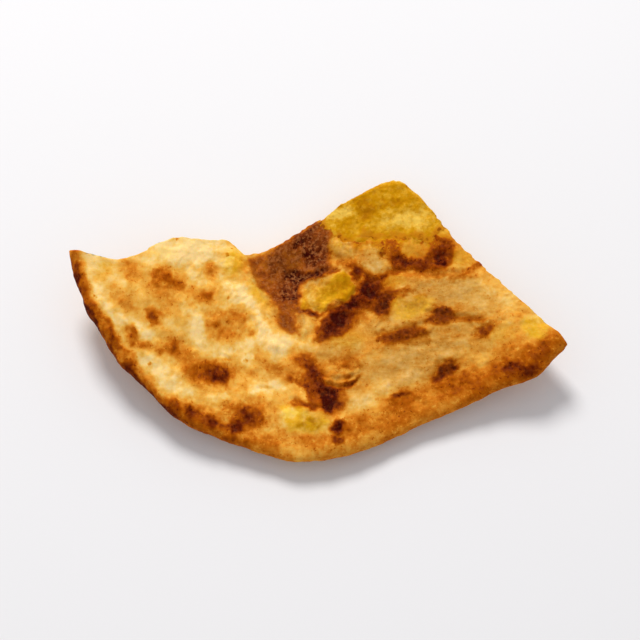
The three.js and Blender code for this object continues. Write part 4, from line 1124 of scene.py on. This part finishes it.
# ---- the potato ----------------------------------------------------------------------------
def patch(body, inner, first, last, left, right):
    """Fills the loop first-right-last-left with the grid inner, whatever their numbers of points."""
    body.grid(inner)
    body.sew(first, inner[0])
    body.sew(inner[-1], last)
    body.sew(left, inner[:, 0])
    body.sew(inner[:, -1], right)


POTATO_ST = []


def potato_point(s, t, h):
    """A point of the potato, h from its lower face (0) to its upper face (1)."""
    s, t, h = np.broadcast_arrays(*(np.asarray(v, float) for v in (s, t, h)))
    shape = s.shape
    s, t, h = s.ravel(), t.ravel(), h.ravel()
    POTATO_ST.append(np.stack([s, t], 1))
    x, y, thick, u = ground(s, t)
    top, low = inner_levels(s, t, x, y, thick, u)
    tear, r = tear_line(t), reach(t)
    behind = (s - tear) * r  # distance behind the torn edge
    bare = step(1.5, 0.3, behind)
    width = np.linalg.norm(right_cut.at(s) - left_cut.at(s), axis=-1)
    side = np.minimum(t, 1 - t) * width
    p2 = flat(x, y, 9.0)
    g, _ = cells(p2, 1.9, 121)
    g2, _ = cells(p2, 0.95, 129)
    lumps = 0.34 * noise(p2, 4.2, 122) + 0.28 * noise(p2, 2.0, 123) + 0.26 * (0.45 - g) + 0.16 * (0.5 - g2) + 0.10 * noise(p2, 0.7, 124)
    edge = np.minimum(side, s * r)
    round_off = -1.1 * (1 - ease(edge / 1.7)) ** 2
    flush = np.exp(-(behind / 2.2) ** 2)
    settle = (0.85 - 0.45 * flush) * lumps - 0.10 * flush + 0.16 * flush * noise(p2, 3.1, 142)
    open_top = u + thick - BARE_DROP * (1 - 0.45 * flush) + waves(x, y, u + thick) * (0.4 + 0.6 * flush) + settle + round_off
    covered = top + 0.12 * step(2.0, 0.5, side) - 0.1
    end = (1 - SEAL / r) + 0.9 / r
    close = np.sqrt(clamp(1 - clamp((s - (end - 2.4 / r)) * r / 2.4) ** 2, 0.02, 1))
    hi = covered * (1 - bare) + open_top * bare
    lo = low - 0.1
    mid = (hi + lo) / 2
    z = mid + (lo + (hi - lo) * h - mid) * close
    # The open sides stand a little proud of the dough, crumbly.
    q = np.stack([x, y, z], 1)
    g3, _ = cells(q, 1.5, 125)
    g4, _ = cells(q, 2.5, 143)
    proud = 0.14 + 0.30 * noise(q, 3.0, 126) + 0.26 * noise(q, 1.3, 127) + 0.26 * (0.5 - g3) + 0.55 * (0.42 - g4) + 0.12 * noise(q, 0.6, 128)
    bulge = 0.15 + 0.85 * clamp(np.sin(math.pi * clamp(h, 0.0, 1.0))) ** 0.4
    proud = proud * bulge
    across = right_cut.at(s) - left_cut.at(s)
    across = across / np.linalg.norm(across, axis=1)[:, None]
    x = x + proud * across[:, 0] * ((t > 0.999) * 1.0 - (t < 0.001))
    y = y + proud * across[:, 1] * ((t > 0.999) * 1.0 - (t < 0.001))
    tipward = (s < 0.0005) * 1.0
    out = (proud + 0.25 * bulge) * tipward
    x, y = x + 0.10 * out, y + 0.99 * out
    return np.stack([x, y, z], 1).reshape(shape + (3,))


def potato_marks(pos, s, t):
    """Browning next to the torn dough, and lighter and darker patches; at the tip these are painted light on the lit
    lumps and painted shade in the hollow, fold and brow.
    """
    x, y = pos[:, 0], pos[:, 1]
    p = pos * (1, 1, 1.2)
    height = underside(x, y) + thickness(s, t, x, y)
    wx, wy = warp(x, y, 131, 1.0)
    tone = np.zeros_like(x)
    for _, cx, cy, rx, ry, turn, strength in TIP_TONES:
        u, v = turned(wx, wy, cx, cy, rx, ry, turn)
        tone += strength * np.exp(-(u * u + v * v))
    tone = tone + 0.30 * noise(p, 3.4, 132) + 0.25 * noise(p, 1.5, 133) + 0.15 * noise(p, 0.8, 134)
    cut = np.maximum(np.maximum(t < 0.001, t > 0.999), s < 0.0005) * 1.0
    top = step(-0.6, 0.1, pos[:, 2] - (height - 0.9))  # near the upper face
    pale_lump, _ = cells(pos + 0.3 * np.stack([noise(p, 1.6, 144), noise(p, 1.6, 145), noise(p, 1.6, 146)], 1), 2.5, 143)
    tone = tone + cut * (1 - top) * (0.35 + 0.4 * noise(p, 2.0, 141) + 0.85 * step(0.5, 0.2, pale_lump))
    gap = np.abs(s - tear_line(t)) * reach(t) + 0.8 * noise(p, 2.2, 135) + 0.5 * noise(p, 1.0, 136)
    sear = 0.75 * step(3.0, 0.2, gap) * step(-0.5, 0.3, noise(p, 3.6, 137))
    side = np.minimum(t, 1 - t) * np.linalg.norm(right_cut.at(s) - left_cut.at(s), axis=-1)
    sear = np.maximum(sear, 0.8 * step(1.6, 0.2, side + 0.7 * noise(p, 2.0, 138)) * step(-0.1, 0.35, noise(p, 4.0, 139)) * (t > 0.5) * top)
    return clamp(tone, -1, 1), clamp(sear + 0.25 * step(0.2, 0.6, noise(p, 1.3, 140)))


def build_potato():
    NT, NC, NH = 190, 60, 14
    tear0, tear1 = tear_line(np.array([0.0]))[0], tear_line(np.array([1.0]))[0]
    body = Body()
    KB, KC, KE = 64, 150, 0
    far = 0.9

    def s_rows(t, k):
        """k from the tip (0) past the torn edge (1) to the seal (2)."""
        t, k = np.broadcast_arrays(t, k)
        flat_t, flat_k = t.ravel(), k.ravel()
        r = reach(flat_t)
        mid = tear_line(flat_t) + 1.2 / r
        end = 1 - SEAL / r + far / r
        return np.where(flat_k <= 1, mid * flat_k, mid + (end - mid) * (flat_k - 1)).reshape(t.shape)

    hs = np.linspace(0, 1, NH + 1)
    kf = np.concatenate([np.linspace(0, 1, KB // 2 + 1)[:-1], np.linspace(1, 2, KC + 1)])  # along the sides
    tt, tc = np.linspace(0, 1, NT + 1), np.linspace(0, 1, NC + 1)
    sides = []
    for t in (0.0, 1.0):
        s = s_rows(t, kf)
        sides.append(body.add(potato_point(s[None], t, hs[:, None]), kind=1))
    tip_in = body.add(potato_point(0.0, tt[None, 1:-1], hs[:, None]), kind=1)
    tip = np.concatenate([sides[0][:, :1], tip_in, sides[1][:, :1]], 1)
    end_in = body.add(potato_point(s_rows(tc[1:-1], 2.0)[None], tc[None, 1:-1], hs[::2, None]), kind=2)
    end = np.concatenate([sides[0][::2, -1:], end_in, sides[1][::2, -1:]], 1)
    body.grid(sides[0])
    body.grid(sides[1])
    body.grid(tip)
    # The far end is coarser than the sides: its edges are sewn to them.
    body.grid(end_in)
    body.sew(sides[0][:, -1], end_in[:, 0], hs, hs[::2])
    body.sew(end_in[:, -1], sides[1][:, -1], hs[::2], hs)
    # Upper face: fine where it is bare, coarse where the dough covers it.
    ka = np.linspace(0, 1, KB + 1)
    bare = body.add(potato_point(s_rows(tt[None, 1:-1], ka[1:, None]), tt[None, 1:-1], 1.0), kind=0)
    n_half = KB // 2
    chain_l, chain_r = sides[0][-1, :n_half + 1], sides[1][-1, :n_half + 1]
    whole = np.concatenate([tip[-1:, 1:-1], bare])
    body.grid(whole)
    body.sew(chain_l, whole[:, 0], kf[:n_half + 1], ka)
    body.sew(whole[:, -1], chain_r, ka, kf[:n_half + 1])
    kc = np.linspace(1, 2, 41)
    cover = body.add(potato_point(s_rows(tc[None, 1:-1], kc[1:-1, None]), tc[None, 1:-1], 1.0), kind=2)
    cover = np.concatenate([cover, end_in[-1:]])
    body.grid(cover)
    first = np.concatenate([[sides[0][-1, n_half]], bare[-1], [sides[1][-1, n_half]]])
    cov0 = np.concatenate([[sides[0][-1, n_half]], cover[0], [sides[1][-1, n_half]]])
    body.sew(first, cov0, tt, tc)
    body.sew(sides[0][-1, n_half:], cover[:, 0], kf[n_half:], kc[1:])
    body.sew(cover[:, -1], sides[1][-1, n_half:], kc[1:], kf[n_half:])
    # Lower face: coarse throughout.
    kd = np.linspace(0, 2, 61)
    under = body.add(potato_point(s_rows(tc[None, 1:-1], kd[1:-1, None]), tc[None, 1:-1], 0.0), kind=2)
    under = np.concatenate([under, end_in[:1]])
    body.grid(under)
    tipc = np.concatenate([[tip[0, 0]], under[0], [tip[0, -1]]])
    body.sew(tip[0], tipc, tt, tc)
    body.sew(sides[0][0], under[:, 0], kf, kd[1:])
    body.sew(under[:, -1], sides[1][0], kd[1:], kf)
    return body.done()


# ---- materials -----------------------------------------------------------------------------
SHEEN, LIGHT = 0.005, 1.10  # what the surface's sheen adds, and how bright the light is


def linear(rgb):
    """Base colour of a surface that should look like rgb (0 to 255) under this light, sheen included."""
    out = []
    for v in rgb:
        v = v / 255
        v = v / 12.92 if v <= 0.04045 else ((v + 0.055) / 1.055) ** 2.4
        out.append(max(0.0, (v - SHEEN) / LIGHT))
    return (*out, 1.0)


class Nodes:
    """Short names for the node types that the materials below use."""

    def __init__(self, name):
        self.mat = bpy.data.materials.new(name)
        self.mat.use_nodes = True
        self.tree = self.mat.node_tree
        self.bsdf = next(n for n in self.tree.nodes if n.type == "BSDF_PRINCIPLED")
        self.coords = self.tree.nodes.new("ShaderNodeTexCoord").outputs["Object"]

    def put(self, socket, value):
        if isinstance(value, bpy.types.NodeSocket):
            self.tree.links.new(value, socket)
        else:
            socket.default_value = value

    def attr(self, name):
        n = self.tree.nodes.new("ShaderNodeAttribute")
        n.attribute_name = name
        return n.outputs["Fac"]

    def noise(self, size_mm, detail=2.0, rough=0.5, distortion=0.0, stretch=None):
        n = self.tree.nodes.new("ShaderNodeTexNoise")
        n.inputs["Scale"].default_value = 1000.0 / size_mm
        n.inputs["Detail"].default_value = detail
        n.inputs["Roughness"].default_value = rough
        n.inputs["Distortion"].default_value = distortion
        v = self.coords
        if stretch:
            m = self.tree.nodes.new("ShaderNodeMapping")
            m.inputs["Scale"].default_value = stretch
            self.tree.links.new(v, m.inputs["Vector"])
            v = m.outputs["Vector"]
        self.tree.links.new(v, n.inputs["Vector"])
        return n.outputs["Fac"]

    def math(self, op, a, b=0.0, c=None):
        n = self.tree.nodes.new("ShaderNodeMath")
        n.operation = op
        self.put(n.inputs[0], a)
        self.put(n.inputs[1], b)
        if c is not None:
            self.put(n.inputs[2], c)
        return n.outputs[0]

    def band(self, value, lo, hi, to_lo=0.0, to_hi=1.0):
        n = self.tree.nodes.new("ShaderNodeMapRange")
        n.interpolation_type = "SMOOTHSTEP"
        self.put(n.inputs["Value"], value)
        n.inputs["From Min"].default_value = lo
        n.inputs["From Max"].default_value = hi
        n.inputs["To Min"].default_value = to_lo
        n.inputs["To Max"].default_value = to_hi
        return n.outputs["Result"]

    def ramp(self, value, stops):
        n = self.tree.nodes.new("ShaderNodeValToRGB")
        e = n.color_ramp.elements
        while len(e) < len(stops):
            e.new(0.5)
        for i, (at, rgb) in enumerate(stops):
            e[i].position = at
            e[i].color = linear(rgb)
        self.put(n.inputs["Fac"], value)
        return n.outputs["Color"]

    def mix(self, fac, a, b, kind="MIX"):
        n = self.tree.nodes.new("ShaderNodeMix")
        n.data_type = "RGBA"
        n.blend_type = kind
        self.put(n.inputs[0], fac)
        self.put(n.inputs[6], linear(a) if isinstance(a, tuple) and len(a) == 3 else a)
        self.put(n.inputs[7], linear(b) if isinstance(b, tuple) and len(b) == 3 else b)
        return n.outputs[2]

    def scale(self, colour, value):
        """The colour times a number."""
        n = self.tree.nodes.new("ShaderNodeVectorMath")
        n.operation = "SCALE"
        self.put(n.inputs[0], colour)
        self.put(n.inputs["Scale"], value)
        return n.outputs[0]

    def bump(self, height, distance_mm, strength, normal=None):
        n = self.tree.nodes.new("ShaderNodeBump")
        n.inputs["Strength"].default_value = strength
        n.inputs["Distance"].default_value = distance_mm * MM
        self.put(n.inputs["Height"], height)
        if normal is not None:
            self.put(n.inputs["Normal"], normal)
        return n.outputs["Normal"]


def dough_material():
    m = Nodes("dough")
    toast, yellow, oil, tan, ash, rise = (m.attr(k) for k in ("toast", "yellow", "oil", "tan", "ash", "rise"))
    cut, under = m.attr("cut"), m.attr("under")
    big, mid, small, fine, grit = (m.noise(7.0, 2), m.noise(2.6, 3, 0.55), m.noise(1.1, 2, 0.6), m.noise(0.5, 2, 0.6), m.noise(0.26, 1, 0.5))

    def centred(value, amount):
        return m.math("MULTIPLY", m.math("SUBTRACT", value, 0.5), amount)

    # From cream through golden to charred, granular all the way: flour grains and scorched ones.
    t = m.math("ADD", toast, m.math("ADD", centred(small, 0.15), m.math("ADD", centred(fine, 0.14), centred(grit, 0.06))))
    streak = centred(m.noise(0.8, 3, 0.65, 0.4, (0.32, 1.0, 1.0)), 0.26)
    t = m.math("ADD", t, m.math("MULTIPLY", streak, m.math("ADD", 0.25, m.math("MULTIPLY", tan, 0.75))))
    flour = m.math("MULTIPLY", m.band(m.noise(1.25, 3, 0.75), 0.56, 0.68), m.band(toast, 0.22, 0.42))
    t = m.math("SUBTRACT", t, m.math("MULTIPLY", flour, 0.12))
    dots = m.math("MULTIPLY", m.band(m.noise(1.0, 3, 0.75), 0.59, 0.70), m.band(toast, 0.10, 0.34))
    t = m.math("ADD", t, m.math("MULTIPLY", dots, 0.20))
    crust = m.ramp(t, [(0.0, (250, 215, 146)), (0.09, (246, 201, 114)), (0.19, (240, 182, 82)), (0.30, (231, 158, 58)), (0.42, (213, 127, 35)),
                       (0.56, (184, 95, 18)), (0.70, (151, 70, 9)), (0.84, (115, 43, 4)), (0.95, (86, 28, 2)), (1.0, (66, 20, 0))])
    # Duller and darker where tan is set: the thin, dry dough, and over the right part also painted shade.
    dull = m.ramp(t, [(0.0, (232, 190, 124)), (0.12, (222, 173, 96)), (0.24, (210, 155, 72)), (0.38, (194, 126, 41)), (0.56, (165, 89, 18)),
                      (0.72, (127, 58, 10)), (1.0, (62, 22, 4))])
    crust = m.mix(tan, crust, dull)
    # Stained and oily where the potato shines through.
    stain = m.mix(m.band(t, 0.02, 0.18), (248, 204, 84), (234, 174, 40))
    stain = m.mix(m.band(t, 0.16, 0.34), stain, (206, 138, 10))
    oily = m.mix(m.band(mid, 0.4, 0.64), (178, 118, 2), (206, 148, 22))
    stain = m.mix(m.math("MULTIPLY", oil, m.band(small, 0.3, 0.6, 0.6, 1.0)), stain, oily)
    crust = m.mix(m.math("MULTIPLY", yellow, m.band(t, 0.6, 0.42)), crust, stain)
    # Where it is scorched, dry grains of flour show.
    speck = m.math("MULTIPLY", m.band(m.noise(0.95, 3, 0.7), 0.49, 0.62), m.band(m.math("ADD", t, m.math("MULTIPLY", ash, 0.1)), 0.5, 0.7))
    crust = m.mix(m.math("MULTIPLY", ash, m.band(t, 1.05, 0.75, 0.0, 0.30)), crust, (146, 86, 40))
    crust = m.mix(m.math("MULTIPLY", speck, m.math("ADD", 0.08, m.math("MULTIPLY", ash, 0.50))), crust, (184, 114, 62))
    # The underside is drier and paler between its brown patches.
    crust = m.mix(m.math("MULTIPLY", under, m.band(t, 0.4, 0.1, 0.0, 0.6)), crust, (236, 190, 118))
    # Cut and torn edges show the cooked inside of the dough.
    crumb = m.mix(m.band(m.noise(2.2, 3, 0.6), 0.38, 0.62), (222, 168, 84), (245, 212, 144))
    layer = m.noise(1.6, 3, 0.65, 0.3, (1.0, 1.0, 3.6))
    crumb = m.mix(m.math("MULTIPLY", m.band(layer, 0.52, 0.66), 0.7), crumb, (204, 138, 52))
    crumb = m.mix(m.math("MULTIPLY", m.band(big, 0.5, 0.66), 0.5), crumb, (196, 120, 38))
    colour = m.mix(cut, crust, crumb)
    # Lighter where the surface rises and darker in creases and hollows: painted light and shade. The fine noise adds
    # random grain.
    colour = m.scale(colour, m.math("ADD", 1.0, m.math("ADD", m.math("MULTIPLY", rise, 0.09), centred(fine, 0.10))))
    m.put(m.bsdf.inputs["Base Color"], colour)
    rough = m.math("ADD", 0.50, m.math("MULTIPLY", small, 0.22))
    rough = m.math("SUBTRACT", rough, m.math("MULTIPLY", m.band(t, 0.3, 0.8), 0.06))
    m.put(m.bsdf.inputs["Roughness"], rough)
    m.bsdf.inputs["Specular IOR Level"].default_value = 0.025
    m.bsdf.inputs["Subsurface Weight"].default_value = 0.3
    m.bsdf.inputs["Subsurface Radius"].default_value = (1.0, 0.55, 0.25)
    m.bsdf.inputs["Subsurface Scale"].default_value = 0.0016
    height = m.math("ADD", m.math("MULTIPLY", small, 0.5), m.math("ADD", m.math("MULTIPLY", fine, 0.35), m.math("MULTIPLY", grit, 0.2)))
    m.put(m.bsdf.inputs["Normal"], m.bump(height, 0.35, 0.55))
    return m.mat


def potato_material():
    m = Nodes("filling")
    tone, sear = m.attr("tone"), m.attr("sear")
    mid, small, fine = m.noise(1.9, 3, 0.55), m.noise(0.8, 2, 0.6), m.noise(0.35, 1, 0.5)
    t = m.math("ADD", tone, m.math("ADD", m.math("MULTIPLY", m.math("SUBTRACT", mid, 0.5), 1.2), m.math("MULTIPLY", m.math("SUBTRACT", small, 0.5), 1.0)))
    colour = m.ramp(m.band(t, -1.2, 1.2), [(0.0, (176, 110, 0)), (0.3, (196, 131, 4)), (0.5, (209, 146, 18)), (0.7, (224, 165, 42)), (1.0, (242, 197, 84))])
    lump = m.band(m.noise(1.7, 3, 0.6), 0.53, 0.62)
    colour = m.mix(m.math("MULTIPLY", lump, 0.16), colour, (238, 190, 70))
    gap = m.band(m.noise(1.2, 3, 0.65, 0.4), 0.58, 0.68)
    colour = m.mix(m.math("MULTIPLY", gap, 0.34), colour, (176, 104, 6))
    s = m.math("ADD", sear, m.math("MULTIPLY", m.math("SUBTRACT", small, 0.5), 0.6))
    colour = m.mix(m.math("MULTIPLY", m.band(s, 0.15, 0.6), 0.75), colour, (206, 128, 26))
    colour = m.mix(m.math("MULTIPLY", m.band(s, 0.65, 0.95), 0.8), colour, (142, 70, 12))
    colour = m.scale(colour, m.math("ADD", 0.94, m.math("MULTIPLY", fine, 0.12)))
    m.put(m.bsdf.inputs["Base Color"], colour)
    m.put(m.bsdf.inputs["Roughness"], m.math("ADD", 0.58, m.math("MULTIPLY", small, 0.2)))
    m.bsdf.inputs["Specular IOR Level"].default_value = 0.03
    m.bsdf.inputs["Subsurface Weight"].default_value = 0.08
    m.bsdf.inputs["Subsurface Radius"].default_value = (1.0, 0.6, 0.2)
    m.bsdf.inputs["Subsurface Scale"].default_value = 0.0012
    height = m.math("ADD", m.math("MULTIPLY", small, 0.6), m.math("MULTIPLY", fine, 0.3))
    m.put(m.bsdf.inputs["Normal"], m.bump(height, 0.4, 0.5))
    return m.mat


# ---- the pieces ----------------------------------------------------------------------------
pos, faces, marks, cut, kind = build_dough()
dough = mesh_object("bread", pos, faces, {**marks, "cut": cut, "under": (kind == 1).astype(float)}, dough_material())
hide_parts("dough")

pos, data, faces = build_potato()
st = np.concatenate(POTATO_ST)
tone, sear = potato_marks(pos, st[:, 0], st[:, 1])
potato = mesh_object("potato", pos, faces, {"tone": tone, "sear": sear}, potato_material())
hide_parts("filling")

# ---- floor, light and camera ---------------------------------------------------------------
floor_mesh = bpy.data.meshes.new("floor")
F = 2.5
floor_mesh.from_pydata([(-F, -F, 0), (F, -F, 0), (F, F, 0), (-F, F, 0)], [], [(0, 1, 2, 3)])
floor = bpy.data.objects.new("floor", floor_mesh)
bpy.context.scene.collection.objects.link(floor)
fm = bpy.data.materials.new("floor")
fm.use_nodes = True
fb = next(n for n in fm.node_tree.nodes if n.type == "BSDF_PRINCIPLED")
fb.inputs["Base Color"].default_value = (0.83, 0.82, 0.835, 1)
fb.inputs["Roughness"].default_value = 0.8
fb.inputs["Specular IOR Level"].default_value = 0.2
floor_mesh.materials.append(fm)

world = bpy.data.worlds.new("studio")
bpy.context.scene.world = world
world.use_nodes = True
sky = next(n for n in world.node_tree.nodes if n.type == "BACKGROUND")
sky.inputs["Color"].default_value = (0.97, 0.98, 1.0, 1)
sky.inputs["Strength"].default_value = 0.55


def area(name, where, size, power, colour=(1, 1, 1)):
    light = bpy.data.lights.new(name, "AREA")
    light.shape = "DISK"
    light.size = size
    light.energy = power
    light.color = colour
    o = bpy.data.objects.new(name, light)
    o.location = where
    o.rotation_euler = (-Vector(where)).to_track_quat("-Z", "Y").to_euler()
    bpy.context.scene.collection.objects.link(o)
    return o


area("key", (-0.20, 0.80, 0.95), 0.42, 12.0, (1.0, 0.985, 0.96))

camera_data = bpy.data.cameras.new("camera")
camera_data.lens = 136
camera_data.sensor_width = 36
camera_data.clip_start, camera_data.clip_end = 0.01, 20
camera = bpy.data.objects.new("camera", camera_data)
bpy.context.scene.collection.objects.link(camera)
bpy.context.scene.camera = camera
eye = Vector((-2.12, -223.63, 584.02)) * MM
half = 18 / 85
tilt = math.radians(64)
ahead, right, up = Vector((0, math.cos(tilt), -math.sin(tilt))), Vector((1, 0, 0)), Vector((0, math.sin(tilt), math.cos(tilt)))
aim = ahead + right * ((326 - 320) / 320 * half) + up * ((320 - 449) / 320 * half)
camera.location = eye
camera.rotation_euler = aim.to_track_quat("-Z", "Y").to_euler()

scene = bpy.context.scene
scene.view_settings.view_transform = "Standard"
scene.view_settings.look = "None"
